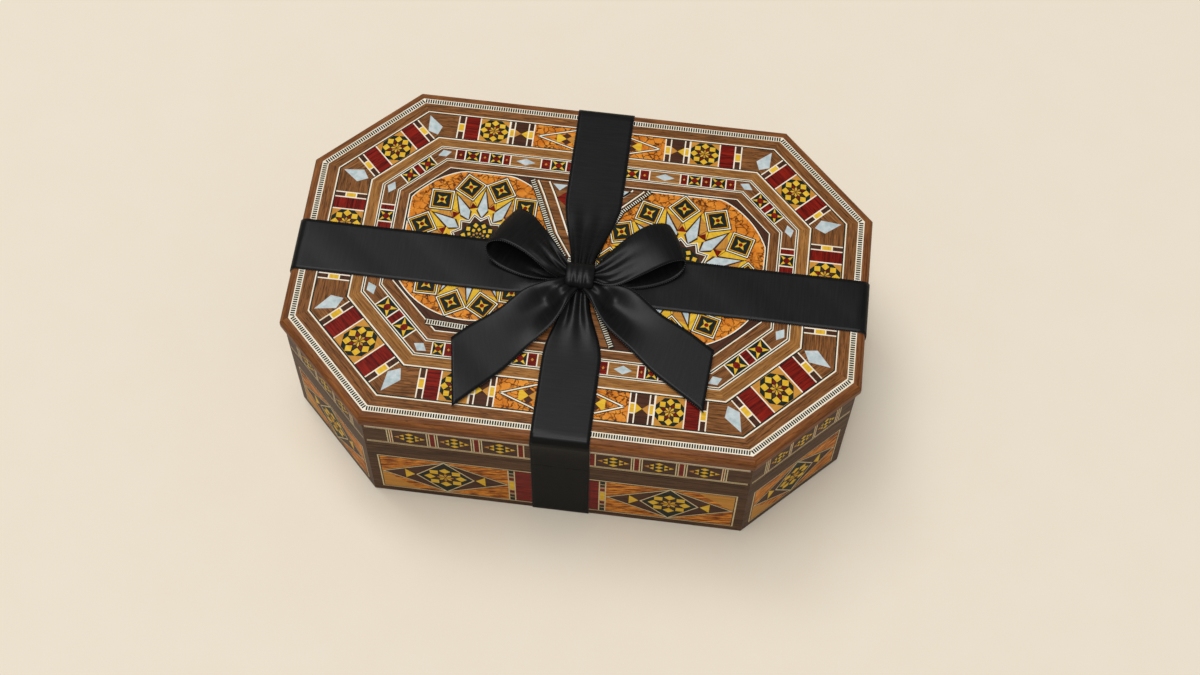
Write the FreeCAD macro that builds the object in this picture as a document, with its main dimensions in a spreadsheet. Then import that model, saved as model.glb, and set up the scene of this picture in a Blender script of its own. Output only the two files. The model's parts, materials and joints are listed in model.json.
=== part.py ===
import FreeCAD, Part
import math
import os
from collections import defaultdict

import Sketcher

# A keepsake box with eight sides, inlaid all over, with a hinged lid and a satin ribbon tied in a bow.
# Millimetres. +X runs along the length, -Y is the front and +Z is up.
# The origin is under the middle of the box.

Vector = FreeCAD.Vector
Placement = FreeCAD.Placement
Rotation = FreeCAD.Rotation
UP = Vector(0, 0, 1)

# Driving dimensions
SIZES = {
    # Carcass
    "lid_length": 250.0,
    "lid_width": 166.0,
    "corner_cut": 41.5,
    "lid_overhang": 1.5,
    "wall_thickness": 7.0,
    "base_wall_height": 48.5,
    "seam_gap": 0.3,
    "rim_height": 19.2,
    "board_thickness": 7.7,
    "veneer_thickness": 0.8,
    "moulding_width": 4.0,
    "moulding_round": 3.0,
    "floor_thickness": 4.0,
    "floor_recess": 1.5,
    "pad_thickness": 1.2,
    "lining_thickness": 0.8,
    "lining_reveal": 0.6,
    # Bands of the top mosaic, from the moulding inwards
    "ladder_width": 2.4,
    "outer_banding_width": 4.9,
    "line_width": 1.1,
    "outer_band_width": 13.6,
    "light_banding_width": 4.6,
    "inner_line_width": 1.3,
    "inner_band_width": 5.8,
    "field_banding_width": 3.9,
    "field_line_width": 0.8,
    # Mosaic let into the walls
    "panel_bottom": 4.0,
    "panel_height": 32.0,
    "panel_margin": 4.0,
    "panel_line_width": 1.0,
    "rim_mosaic_bottom": 2.7,
    "rim_line_width": 1.5,
    "rim_band_width": 12.4,
    "rim_margin": 1.0,
    # Hinges
    "hinge_offset": 45.0,
    "hinge_length": 24.0,
    "hinge_setback": 0.5,
    "hinge_clearance": 0.3,
    "mortise_clearance": 0.05,
    "leaf_width": 6.5,
    "leaf_thickness": 1.0,
    "knuckle_radius": 1.5,
    "knuckle_gap": 0.2,
    "pin_radius": 0.6,
    "pin_fit": 0.05,
    # Ribbon and bow
    "ribbon_width": 25.0,
    "ribbon_thickness": 0.5,
    "ribbon_clearance": 0.05,
    "ribbon_seam_gap": 0.3,
    "ribbon_bridge_lap": 2.0,
    "ribbon_tuck_height": 6.0,
    "lengthwise_ribbon_forward": 3.2,
    "crosswise_ribbon_right": 1.5,
    "gather_width": 12.0,
    "gather_length": 24.0,
    "knot_right": 0.5,
    "knot_forward": 6.8,
    "knot_length": 12.0,
    "knot_width": 12.0,
    "knot_height": 9.0,
    "knot_round": 3.0,
    "bow_clearance": 0.1,
    "loop_thickness": 0.6,
    "loop_level": 5.0,
    "loop_mouth": 2.0,
    "loop_root_width": 6.0,
    "loop_drop": 3.2,
    "left_loop_front_degrees": 164.5,
    "left_loop_front_length": 38.0,
    "left_loop_front_rise": 9.7,
    "left_loop_back_degrees": 140.0,
    "left_loop_back_length": 38.4,
    "left_loop_back_rise": 3.2,
    "right_loop_front_degrees": 19.6,
    "right_loop_front_length": 40.3,
    "right_loop_front_rise": 5.4,
    "right_loop_back_degrees": 41.0,
    "right_loop_back_length": 39.0,
    "right_loop_back_rise": 3.6,
    "tail_root_width": 9.0,
    "tail_lift": 0.4,
    "tail_rise": 2.0,
    "tail_fall": 18.0,
    "left_tail_degrees": 226.5,
    "left_tail_length": 67.5,
    "left_tail_slant": 19.0,
    "right_tail_degrees": 325.0,
    "right_tail_length": 72.5,
    "right_tail_slant": -15.0,
    # One overrun serves every cut
    "overrun": 1.0,
}

# How deep the top's bands run on each side, as shares of their widths: the picture sits towards the back
BAND_SHARES = (("front", 1.02), ("front_right", 1.14), ("right", 1.02), ("back_right", 0.925), ("back", 0.87),
               ("back_left", 0.925), ("left", 1.02), ("front_left", 1.14))

# Where each band changes piece, as shares of the half side at the band's inner edge, from the middle outwards
OUTER_BAND_SHARES = {
    "long": (("panel", 0.409), ("strip", 0.451), ("hourglass", 0.531), ("strip", 0.568), ("rosette", 0.752),
             ("bar", 0.844), ("strip", 0.891)),
    "short": (("block", 0.444), ("bar", 0.640), ("strip", 0.741)),
    "corner": (("rosette", 0.367), ("bar", 0.722), ("strip", 0.889)),
}
INNER_BAND_SHARES = {
    "long": (("star", 0.043), ("ground", 0.126), ("bar", 0.196), ("star", 0.300), ("bar", 0.366),
             ("rhombus", 0.574), ("bar", 0.624), ("star", 0.716), ("bar", 0.779), ("star", 0.880),
             ("bar", 0.942)),
    "short": (("star", 0.115), ("bar", 0.300), ("star", 0.540), ("bar", 0.660)),
    "corner": (("bar", 0.120), ("star", 0.600)),
}
PANEL_SHARES = {
    "long": (("padauk", 0.240), ("strips", 0.275)),
    "short": (("padauk", 0.380), ("strips", 0.420)),
}
RIM_SHARES = {
    "long": (("walnut", 0.168), ("padauk", 0.205), ("diamonds", 0.387), ("padauk", 0.448),
             ("diamonds", 0.619), ("padauk", 0.680), ("diamonds", 0.858), ("walnut", 1.0)),
    "short": (("walnut", 0.346), ("padauk", 0.400), ("diamonds", 0.700), ("walnut", 1.0)),
    "corner": (("diamonds", 0.217), ("padauk", 0.270), ("diamonds", 0.668), ("walnut", 1.0)),
}

# Pearl pieces at the corners, as shares of the band: tip, widest point and foot across it, and half the width
OUTER_PEARL_SHARES = (0.10, 0.66, 0.93, 0.25)
INNER_PEARL_SHARES = (0.17, 0.50, 0.83, 0.55)
RHOMBUS_PEARL_SHARES = (0.62, 0.70)
# The lozenge of a burl panel: its tip and its shoulder along, and its edge across
LOZENGE_SHARES = (0.93, 0.27, 0.08)
HOURGLASS_SHARES = (0.24, 0.06)
# A rosette: its size in its square, and its star's points and hollows
ROSETTE_SHARES = (0.98, 0.96, 0.52)
# A wall panel: its diamond along, and its triangles' foot, point and half height
DIAMOND_SHARE = 0.46
TRIANGLE_SHARES = (0.63, 0.48, 0.29)

# The medallions, as shares of their radius
MEDALLION_COUNT = 12
MEDALLION_FIELD_SHARE = 0.985
MEDALLION_HEIGHT_SHARE = 0.92
MEDALLION_BACK_SHARE = 0.97
# How wide the left and the right medallion are for their height: the left one is laid narrower
MEDALLION_WIDTH_SHARES = (0.865, 1.0)
DISC_COUNT = 48
# Straight steps in each arc of a bow loop
LOOP_STEPS = 8
SQUARE_RING_SHARE = 0.80
SQUARE_CORNER_SHARE = 0.187
SQUARE_INNER_SHARE = 0.120
NOTCH_SHARE = 0.80
KITE_SHARES = (0.67, 0.445, 0.375, 0.062)
ZIGZAG_SHARES = (0.39, 0.31)
ZIGZAG_LINE_SHARE = 0.035
ROSETTE_COUNT = 8

SQUARE_TURN = math.pi / 2
CUT_SHARE = 2 - math.sqrt(2)

doc = FreeCAD.newDocument("mosaic_box")
sheet = doc.addObject("Spreadsheet::Sheet", "Sizes")
for row, (alias, number) in enumerate(SIZES.items(), start=1):
    sheet.set(f"A{row}", alias)
    sheet.set(f"B{row}", str(number))
    sheet.setAlias(f"B{row}", alias)
doc.recompute()

nodes = []


def size(alias):
    """One driving dimension, read from the sheet."""
    return float(sheet.get(alias))


class Outline:
    """An eight-sided outline with corners cut at 45 degrees."""

    def __init__(self, half_length, half_width, cut):
        self.half_length = half_length
        self.half_width = half_width
        self.cut = cut

    def inset(self, step):
        """The outline a step further in."""
        return Outline(self.half_length - step, self.half_width - step, self.cut - step * CUT_SHARE)

    def corners(self):
        """Its corner points, anticlockwise from the right end of the front."""
        along = self.half_length - self.cut
        across = self.half_width - self.cut
        return [(along, -self.half_width), (self.half_length, -across), (self.half_length, across),
                (along, self.half_width), (-along, self.half_width), (-self.half_length, across),
                (-self.half_length, -across), (-along, -self.half_width)]


LID = Outline(size("lid_length") / 2, size("lid_width") / 2, size("corner_cut"))
WALLS = LID.inset(size("lid_overhang"))
INSIDE = WALLS.inset(size("wall_thickness"))
MOSAIC = LID.inset(size("moulding_width"))

FOOT = size("ribbon_thickness")
BASE_TOP = FOOT + size("base_wall_height")
RIM_BOTTOM = BASE_TOP + size("seam_gap")
RIM_TOP = RIM_BOTTOM + size("rim_height")
BOARD_TOP = RIM_TOP + size("board_thickness")
LID_TOP = BOARD_TOP + size("veneer_thickness")
FLOOR_BOTTOM = FOOT + size("floor_recess")
FLOOR_TOP = FLOOR_BOTTOM + size("floor_thickness")
AXIS_HEIGHT = BASE_TOP + size("seam_gap") / 2
AXIS_BACK = WALLS.half_width + size("hinge_setback")


class Side:
    """One of the eight sides: its name, its kind and the way that it faces."""

    def __init__(self, name, kind, degrees):
        self.name = name
        self.kind = kind
        self.degrees = degrees
        self.out = Rotation(UP, degrees).multVec(Vector(1, 0, 0))

    def distance(self, outline):
        """How far the side of an outline lies from the middle."""
        if self.kind == "long":
            return outline.half_width
        if self.kind == "short":
            return outline.half_length
        return (outline.half_length + outline.half_width - outline.cut) / math.sqrt(2)

    def middle(self, outline):
        """The middle of the side of an outline."""
        long, wide, half_cut = outline.half_length, outline.half_width, outline.cut / 2
        places = {"long": (0, wide), "short": (long, 0), "corner": (long - half_cut, wide - half_cut)}
        along, across = places[self.kind]
        return Vector(math.copysign(along, self.out.x), math.copysign(across, self.out.y), 0)

    def half(self, outline):
        """Half the side's length on an outline."""
        if self.kind == "long":
            return outline.half_length - outline.cut
        if self.kind == "short":
            return outline.half_width - outline.cut
        return outline.cut / math.sqrt(2)

    def half_expression(self, inset):
        """Half the side's length on the lid's outline moved inwards, as an expression."""
        full = {"long": "Sizes.lid_length / 2 - Sizes.corner_cut",
                "short": "Sizes.lid_width / 2 - Sizes.corner_cut",
                "corner": "Sizes.corner_cut / sqrt(2)"}[self.kind]
        return f"({full} - ({inset}) * tan(22.5 deg))"

    def top_frame(self):
        """The side's own frame on the lid's top: u along the side, v inwards in nominal band widths."""
        middle = self.middle(MOSAIC) + UP * LID_TOP
        return Frame(middle, UP.cross(self.out), self.out * -dict(BAND_SHARES)[self.name])

    def top_end(self, sign, depth):
        """Where the side ends on the lid's top at a nominal depth: on the mitre with its neighbour."""
        names = [name for name, _ in BAND_SHARES]
        beside = names[(names.index(self.name) + sign) % len(names)]
        depths = dict(BAND_SHARES)
        mitre = math.sqrt(2) * depths[beside] - depths[self.name]
        return sign * (self.half(MOSAIC) - depth * mitre)

    def top_stretch(self, depth):
        """The middle of the side on the lid's top at a nominal depth, and half its length there."""
        start, end = self.top_end(-1, depth), self.top_end(1, depth)
        return (start + end) / 2, (end - start) / 2

    def wall_frame(self, height):
        """The side's own frame on the walls' outer face: u along the wall, v up from a height."""
        middle = self.middle(WALLS) + UP * height
        return Frame(middle, UP.cross(self.out), UP)


class Frame:
    """A flat face to inlay: a middle point, the ways along and up it, and the unit way out of it."""

    def __init__(self, middle, along, up):
        self.middle = middle
        self.along = along
        self.up = up
        self.out = along.cross(up).normalize()

    def at(self, u, v):
        """The point at u along and v up."""
        return self.middle + self.along * u + self.up * v


SIDES = [Side("front", "long", -90), Side("front_right", "corner", -45), Side("right", "short", 0),
         Side("back_right", "corner", 45), Side("back", "long", 90), Side("back_left", "corner", 135),
         Side("left", "short", 180), Side("front_left", "corner", -135)]
TOP = Frame(UP * LID_TOP, Vector(1, 0, 0), Vector(0, 1, 0))


# Helpers that make document objects

def node(thing, label):
    """Marks an object as a piece of the box, under its own label."""
    thing.Label = label
    nodes.append(thing)
    return thing


def bind(thing, **expressions):
    """Binds an object's sizes to the sheet."""
    for name, expression in expressions.items():
        thing.setExpression(name, expression)
    return thing


def block(name, length, width, height, corner):
    """A box with bound sizes, from its lowest corner."""
    box = doc.addObject("Part::Box", name)
    bind(box, Length=length, Width=width, Height=height)
    box.Placement.Base = corner
    return box


def rod(name, radius, length, start):
    """A cylinder along +X with bound sizes."""
    cylinder = doc.addObject("Part::Cylinder", name)
    bind(cylinder, Radius=radius, Height=length)
    cylinder.Placement = Placement(start, Rotation(Vector(0, 1, 0), 90))
    return cylinder


def fuse(name, parts):
    """Parts joined into one solid."""
    joined = doc.addObject("Part::MultiFuse", name)
    joined.Shapes = parts
    return joined


def cut(name, base, tool):
    """A part with another cut away."""
    result = doc.addObject("Part::Cut", name)
    result.Base = base
    result.Tool = tool
    return result


def group(name, parts):
    """Separate parts that are alike, in one object."""
    compound = doc.addObject("Part::Compound", name)
    compound.Links = parts
    return compound


def feature(name, shape):
    """A shape made here, as an object."""
    made = doc.addObject("Part::Feature", name)
    made.Shape = shape
    return made


# Octagonal bodies drawn as sketches

def draw_octagon(sketch, inset):
    """Draws the lid's outline moved inwards, with each corner dimensioned from the middle."""
    half_length = f"Sizes.lid_length / 2 - ({inset})"
    half_width = f"Sizes.lid_width / 2 - ({inset})"
    corner = f"(Sizes.corner_cut - ({inset}) * (2 - sqrt(2)))"
    along = (f"{half_length} - {corner}", half_length, half_length, f"{half_length} - {corner}")
    across = (half_width, f"{half_width} - {corner}", f"{half_width} - {corner}", half_width)
    signs = ((1, -1), (1, -1), (1, 1), (1, 1), (-1, 1), (-1, 1), (-1, -1), (-1, -1))
    order = (0, 1, 2, 3, 3, 2, 1, 0)
    outline = LID.inset(float(sheet.evalExpression(inset)))
    points = [Vector(x, y, 0) for x, y in outline.corners()]
    first = sketch.GeometryCount
    for index, point in enumerate(points):
        sketch.addGeometry(Part.LineSegment(point, points[(index + 1) % len(points)]), False)
    for index, point in enumerate(points):
        line = first + index
        following = first + (index + 1) % len(points)
        sketch.addConstraint(Sketcher.Constraint("Coincident", line, 2, following, 1))
        places = (("DistanceX", signs[index][0], abs(point.x), along[order[index]]),
                  ("DistanceY", signs[index][1], abs(point.y), across[order[index]]))
        for kind, sign, number, expression in places:
            ends = (-1, 1, line, 1) if sign > 0 else (line, 1, -1, 1)
            made = sketch.addConstraint(Sketcher.Constraint(kind, *ends, number))
            sketch.setExpression(f"Constraints[{made}]", expression)


def octagon_body(label, outer, height, bottom, inner=None):
    """A body padded from the lid's outline moved inwards, or from the ring between two such outlines."""
    body = doc.addObject("PartDesign::Body", label)
    plane = [item for item in body.Origin.OriginFeatures if item.Role == "XY_Plane"][0]
    sketch = body.newObject("Sketcher::SketchObject", f"{label}_outline")
    sketch.AttachmentSupport = [(plane, "")]
    sketch.MapMode = "FlatFace"
    draw_octagon(sketch, outer)
    if inner:
        draw_octagon(sketch, inner)
    pad = body.newObject("PartDesign::Pad", f"{label}_pad")
    pad.Profile = sketch
    bind(pad, Length=height)
    body.Placement.Base = UP * bottom
    doc.recompute()
    return body, pad


def round_moulding(body, pad):
    """Rounds the moulding's upper and lower outer edges."""
    reach = size("moulding_width") / 2

    def rounded(edge):
        middle = edge.valueAt((edge.FirstParameter + edge.LastParameter) / 2)
        level = abs(edge.Vertexes[0].Z - edge.Vertexes[-1].Z) < size("moulding_round")
        return level and min(side.distance(LID) - middle.dot(side.out) for side in SIDES) < reach

    rounds = body.newObject("PartDesign::Fillet", "moulding_rounds")
    edges = [f"Edge{index}" for index, edge in enumerate(pad.Shape.Edges, start=1) if rounded(edge)]
    rounds.Base = (pad, edges)
    bind(rounds, Radius="Sizes.moulding_round")
    body.Tip = rounds
    doc.recompute()


# Walls

def wall(side, label, height, bottom):
    """A mitred wall: its outer face on the walls' outline, its ends cut to the corners' half angle."""
    wedge = doc.addObject("Part::Wedge", f"{label}_blank")
    outer = side.half_expression("Sizes.lid_overhang")
    inner = side.half_expression("Sizes.lid_overhang + Sizes.wall_thickness")
    bind(wedge, Xmin=f"-{outer}", Xmax=outer, X2min=f"-{inner}", X2max=inner, Ymax="Sizes.wall_thickness",
         Zmax=height, Z2max=height)
    wedge.Ymin = 0
    wedge.Zmin = 0
    wedge.Z2min = 0
    place = side.middle(WALLS) + UP * bottom
    wedge.Placement = Placement(place, Rotation(UP, side.degrees + 90))
    return wedge


def recess(side, name, margin, height, bottom):
    """The shallow bed for a wall's mosaic."""
    half = side.half_expression("Sizes.lid_overhang")
    bed = doc.addObject("Part::Box", name)
    depth = "Sizes.veneer_thickness + Sizes.overrun"
    bind(bed, Length=f"2 * ({half} - {margin})", Width=depth, Height=height)
    frame = side.wall_frame(bottom)
    start = -(side.half(WALLS) - float(sheet.evalExpression(margin)))
    corner = frame.at(start, 0) + side.out * size("overrun")
    bed.Placement = Placement(corner, Rotation(UP, side.degrees + 90))
    return bed


PANEL_BOTTOM = FOOT + size("panel_bottom")
PANEL_EDGE = "(Sizes.panel_height + 2 * Sizes.panel_line_width)"
RIM_MOSAIC_BOTTOM = RIM_BOTTOM + size("rim_mosaic_bottom")
RIM_MOSAIC_HEIGHT = "(Sizes.rim_band_width + 2 * Sizes.rim_line_width)"


def hinge_tools(name, height, bottom):
    """What a back wall loses to both hinges: a bed for each leaf and a groove for each knuckle."""
    tools = []
    reach = "Sizes.leaf_width - Sizes.hinge_setback"
    for sign, place in ((-1, "left"), (1, "right")):
        start = sign * size("hinge_offset") - size("hinge_length") / 2 - size("mortise_clearance")
        back = WALLS.half_width - (size("leaf_width") - size("hinge_setback"))
        length = "Sizes.hinge_length + 2 * Sizes.mortise_clearance"
        tools.append(block(f"{name}_{place}_bed", length, f"{reach} + Sizes.overrun", height,
                           Vector(start, back, bottom)))
        groove_start = Vector(start, AXIS_BACK, AXIS_HEIGHT)
        tools.append(rod(f"{name}_{place}_groove", "Sizes.knuckle_radius + Sizes.hinge_clearance", length,
                         groove_start))
    return fuse(f"{name}_tools", tools)


def build_walls():
    """The base's eight walls and the lid's eight rim walls."""
    leaf_bed = "Sizes.leaf_thickness + Sizes.overrun"
    for side in SIDES:
        label = f"base_{side.name}_wall"
        blank = wall(side, label, "Sizes.base_wall_height", FOOT)
        bed = recess(side, f"{label}_bed", "Sizes.panel_margin", PANEL_EDGE, PANEL_BOTTOM)
        made = cut(f"{label}_cut", blank, bed)
        if side.name == "back":
            tools = hinge_tools("base_hinges", leaf_bed, BASE_TOP - size("leaf_thickness"))
            made = cut(f"{label}_hinged", made, tools)
        node(made, label)
    for side in SIDES:
        label = f"lid_{side.name}_rim"
        blank = wall(side, label, "Sizes.rim_height", RIM_BOTTOM)
        bed = recess(side, f"{label}_bed", "Sizes.rim_margin", RIM_MOSAIC_HEIGHT, RIM_MOSAIC_BOTTOM)
        made = cut(f"{label}_cut", blank, bed)
        if side.name == "back":
            tools = hinge_tools("lid_hinges", leaf_bed, RIM_BOTTOM - size("overrun"))
            made = cut(f"{label}_hinged", made, tools)
        node(made, label)


def build_boards():
    """The floor, the lid's board and its moulding, and the linings."""
    inside = "Sizes.lid_overhang + Sizes.wall_thickness"
    lined = f"{inside} + Sizes.lining_thickness"
    floor, _ = octagon_body("base_floor", inside, "Sizes.floor_thickness", FLOOR_BOTTOM)
    node(floor, "base_floor")
    pad, _ = octagon_body("base_lining_floor", inside, "Sizes.pad_thickness", FLOOR_TOP)
    node(pad, "base_lining_floor")
    tall = ("Sizes.base_wall_height - Sizes.floor_recess - Sizes.floor_thickness - Sizes.pad_thickness"
            " - Sizes.lining_reveal")
    lining, _ = octagon_body("base_lining_walls", inside, tall, FLOOR_TOP + size("pad_thickness"), lined)
    node(lining, "base_lining_walls")
    board, _ = octagon_body("lid_board", "Sizes.moulding_width", "Sizes.board_thickness", RIM_TOP)
    node(board, "lid_board")
    moulding, blank = octagon_body("lid_moulding", "0 * Sizes.moulding_width",
                                   "Sizes.board_thickness + Sizes.veneer_thickness", RIM_TOP,
                                   "Sizes.moulding_width")
    round_moulding(moulding, blank)
    node(moulding, "lid_moulding")
    sheet_bottom = RIM_TOP - size("pad_thickness")
    top, _ = octagon_body("lid_lining_top", inside, "Sizes.pad_thickness", sheet_bottom)
    node(top, "lid_lining_top")
    rise = "Sizes.rim_height - Sizes.pad_thickness - Sizes.lining_reveal"
    ring, _ = octagon_body("lid_lining_walls", inside, rise, RIM_BOTTOM + size("lining_reveal"), lined)
    node(ring, "lid_lining_walls")


# Hinges

def leaf(name, centre, below):
    """One leaf with its knuckles: the lower leaf carries the outer two, the upper leaf the middle one."""
    third = size("hinge_length") / 3
    gap = size("knuckle_gap")
    start = centre - size("hinge_length") / 2
    level = BASE_TOP - size("leaf_thickness") if below else RIM_BOTTOM
    front = AXIS_BACK - size("leaf_width")
    plate = block(f"{name}_plate", "Sizes.hinge_length", "Sizes.leaf_width", "Sizes.leaf_thickness",
                  Vector(start, front, level))
    thirds = (0, 2) if below else (1,)
    others = (1,) if below else (0, 2)
    barrels = []
    for place in thirds:
        inner = gap / 2 if place == 1 else 0
        length = "Sizes.hinge_length / 3 - Sizes.knuckle_gap" if place == 1 else "Sizes.hinge_length / 3"
        barrels.append(rod(f"{name}_barrel_{place}", "Sizes.knuckle_radius", length,
                           Vector(start + place * third + inner, AXIS_BACK, AXIS_HEIGHT)))
    body = fuse(f"{name}_body", [plate] + barrels)
    room = "2 * (Sizes.knuckle_radius + Sizes.hinge_clearance)"
    clear = size("knuckle_radius") + size("hinge_clearance")
    for place in others:
        before = size("overrun") if place == 0 else gap
        ahead = "Sizes.overrun" if place == 0 else "Sizes.knuckle_gap"
        after = "Sizes.overrun" if place == 2 else "Sizes.knuckle_gap"
        notch = block(f"{name}_notch_{place}", f"Sizes.hinge_length / 3 + {ahead} + {after}", room, room,
                      Vector(start + place * third - before, AXIS_BACK - clear, AXIS_HEIGHT - clear))
        body = cut(f"{name}_notched_{place}", body, notch)
    bore = rod(f"{name}_bore", "Sizes.pin_radius + Sizes.pin_fit", "Sizes.hinge_length + 2 * Sizes.overrun",
               Vector(start - size("overrun"), AXIS_BACK, AXIS_HEIGHT))
    return cut(f"{name}_bored", body, bore)


def build_hinges():
    """Two butt hinges let into the rims, with their knuckles behind the seam."""
    lower = []
    upper = []
    pins = []
    for sign, place in ((-1, "left"), (1, "right")):
        centre = sign * size("hinge_offset")
        lower.append(leaf(f"{place}_lower_leaf", centre, True))
        upper.append(leaf(f"{place}_upper_leaf", centre, False))
        start = Vector(centre - size("hinge_length") / 2, AXIS_BACK, AXIS_HEIGHT)
        pins.append(rod(f"{place}_pin", "Sizes.pin_radius", "Sizes.hinge_length", start))
    node(group("hinge_lower_leaves_group", lower), "hinge_lower_leaves")
    node(group("hinge_upper_leaves_group", upper), "hinge_upper_leaves")
    node(group("hinge_pins_group", pins), "hinge_pins")


# Mosaic

def slab(points, out, holes=()):
    """A tile as thick as the veneer, from its corners on the finished face."""
    wires = []
    for ring in (points, *holes):
        wires.append(Part.makePolygon(list(ring) + [ring[0]]))
    return Part.makeFace(wires, "Part::FaceMakerBullseye").extrude(out * -size("veneer_thickness"))


def tile(frame, outline, holes=()):
    """A tile from corners given in a frame."""
    return slab([frame.at(*point) for point in outline], frame.out,
                [[frame.at(*point) for point in hole] for hole in holes])


def rectangle(u_from, u_to, v_from, v_to):
    """Four corners, anticlockwise."""
    return [(u_from, v_from), (u_to, v_from), (u_to, v_to), (u_from, v_to)]


def polygon(middle, radius, count, turn=0.0):
    """A regular outline round a middle."""
    u, v = middle
    angles = [turn + 2 * math.pi * index / count for index in range(count)]
    return [(u + radius * math.cos(angle), v + radius * math.sin(angle)) for angle in angles]


def diamond(middle, half_along, half_across):
    """A diamond with its points along and across."""
    u, v = middle
    return [(u - half_along, v), (u, v - half_across), (u + half_along, v), (u, v + half_across)]


def turned_square(middle, ring, corner, angle):
    """A square on a ring with one of its corners pointing at the ring's middle."""
    u, v = middle
    centre = (u + ring * math.cos(angle), v + ring * math.sin(angle))
    return polygon(centre, corner, 4, angle)


def sections(shares, half):
    """Stretches of a band from its middle outwards: name, start and end."""
    found = []
    start = 0.0
    for name, share in shares:
        found.append((name, start, share * half))
        start = share * half
    return found


def mirrored(start, end, middle=0.0):
    """The stretches that a section takes on both halves of a side: one if it spans the middle."""
    if start == 0:
        return [(middle - end, middle + end)]
    return [(middle + start, middle + end), (middle - end, middle - start)]


def rosette(frame, middle, room, woods):
    """An eight-pointed lemonwood star in an ebony octagon. Returns the octagon that stays open."""
    fill, point, hollow = ROSETTE_SHARES
    radius = room / 2 * fill
    octagon = polygon(middle, radius, ROSETTE_COUNT)
    star = star_ring(middle, radius * point, radius * hollow, ROSETTE_COUNT, 0.0)
    woods["ebony"].append(tile(frame, octagon, [star]))
    woods["lemonwood"].append(tile(frame, star))
    return octagon


def corner_points(side, sign, shares, start, width):
    """Points of a corner pearl on one side of its mitre: tip, widest point and foot."""
    tip, widest, foot, half = shares
    depths = [start + share * width for share in (tip, widest, foot)]
    points = [(side.top_end(sign, depth), depth) for depth in depths]
    run, fall = points[2][0] - points[0][0], points[2][1] - points[0][1]
    reach = half * width / math.hypot(run, fall)
    u, v = points[1]
    points[1] = (u - sign * abs(fall) * reach, v - abs(run) * reach)
    return points


def band_ends(side, start, width, reach, shares, wood):
    """The grounds at both ends of a band's side, mitred and notched for the corner pearls."""
    end = start + width
    middle, _ = side.top_stretch(end)
    for sign in (-1, 1):
        pearl = corner_points(side, sign, shares, start, width)
        edge = middle + sign * reach
        outline = [(edge, start), (side.top_end(sign, start), start), *pearl, (side.top_end(sign, end), end),
                   (edge, end)]
        wood.append(tile(side.top_frame(), outline))


def corner_pearls(start, width, shares, wood):
    """One pearl at each corner of a band, half on each side of the mitre."""
    for index, side in enumerate(SIDES):
        beside = SIDES[(index + 1) % len(SIDES)]
        ahead = [side.top_frame().at(*point) for point in corner_points(side, 1, shares, start, width)]
        behind = [beside.top_frame().at(*point) for point in corner_points(beside, -1, shares, start, width)]
        wood.append(slab([ahead[0], ahead[1], ahead[2], behind[1]], UP))


def burl_panel(frame, half, v_from, v_to, woods):
    """The burl panel at the middle of a long side, with a long lozenge."""
    tip, shoulder, edge = LOZENGE_SHARES
    middle = (v_from + v_to) / 2
    rim = (v_to - v_from) * edge
    low = v_from + rim
    high = v_to - rim
    lozenge = [(-half * tip, middle), (-half * shoulder, low), (half * shoulder, low), (half * tip, middle),
               (half * shoulder, high), (-half * shoulder, high)]
    woods["burl"].append(tile(frame, rectangle(-half, half, v_from, v_to), [lozenge]))
    woods["walnut"].append(tile(frame, lozenge))


def hourglass(frame, u_from, u_to, v_from, v_to, woods):
    """A walnut section with two lemonwood triangles that point at each other."""
    half_share, gap_share = HOURGLASS_SHARES
    u = (u_from + u_to) / 2
    v = (v_from + v_to) / 2
    half = (v_to - v_from) * half_share
    gap = (u_to - u_from) * gap_share
    right = [(u_to, v - half), (u + gap, v), (u_to, v + half)]
    left = [(u_from, v + half), (u - gap, v), (u_from, v - half)]
    outline = [(u_from, v_from), (u_to, v_from), *right, (u_to, v_to), (u_from, v_to), *left]
    woods["walnut"].append(tile(frame, outline))
    for triangle in (right, left):
        woods["lemonwood"].append(tile(frame, triangle))


def outer_band(side, start, woods):
    """The wide band on one side: panels, strips, bars and rosettes between the corner grounds."""
    width = size("outer_band_width")
    end = start + width
    middle, half = side.top_stretch(end)
    frame = side.top_frame()
    reach = 0.0
    for name, near, far in sections(OUTER_BAND_SHARES[side.kind], half):
        reach = far
        for u_from, u_to in mirrored(near, far, middle):
            box = rectangle(u_from, u_to, start, end)
            if name == "panel":
                burl_panel(frame, far, start, end, woods)
            elif name == "hourglass":
                hourglass(frame, u_from, u_to, start, end, woods)
            elif name == "rosette":
                centre = ((u_from + u_to) / 2, (start + end) / 2)
                octagon = rosette(frame, centre, min(u_to - u_from, width), woods)
                woods["burl"].append(tile(frame, box, [octagon]))
            elif name == "block":
                woods["burl"].append(tile(frame, box))
            elif name == "bar":
                woods["padauk"].append(tile(frame, box))
            else:
                woods["strips"].append(tile(frame, box))
    band_ends(side, start, width, reach, OUTER_PEARL_SHARES, woods["walnut"])


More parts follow.
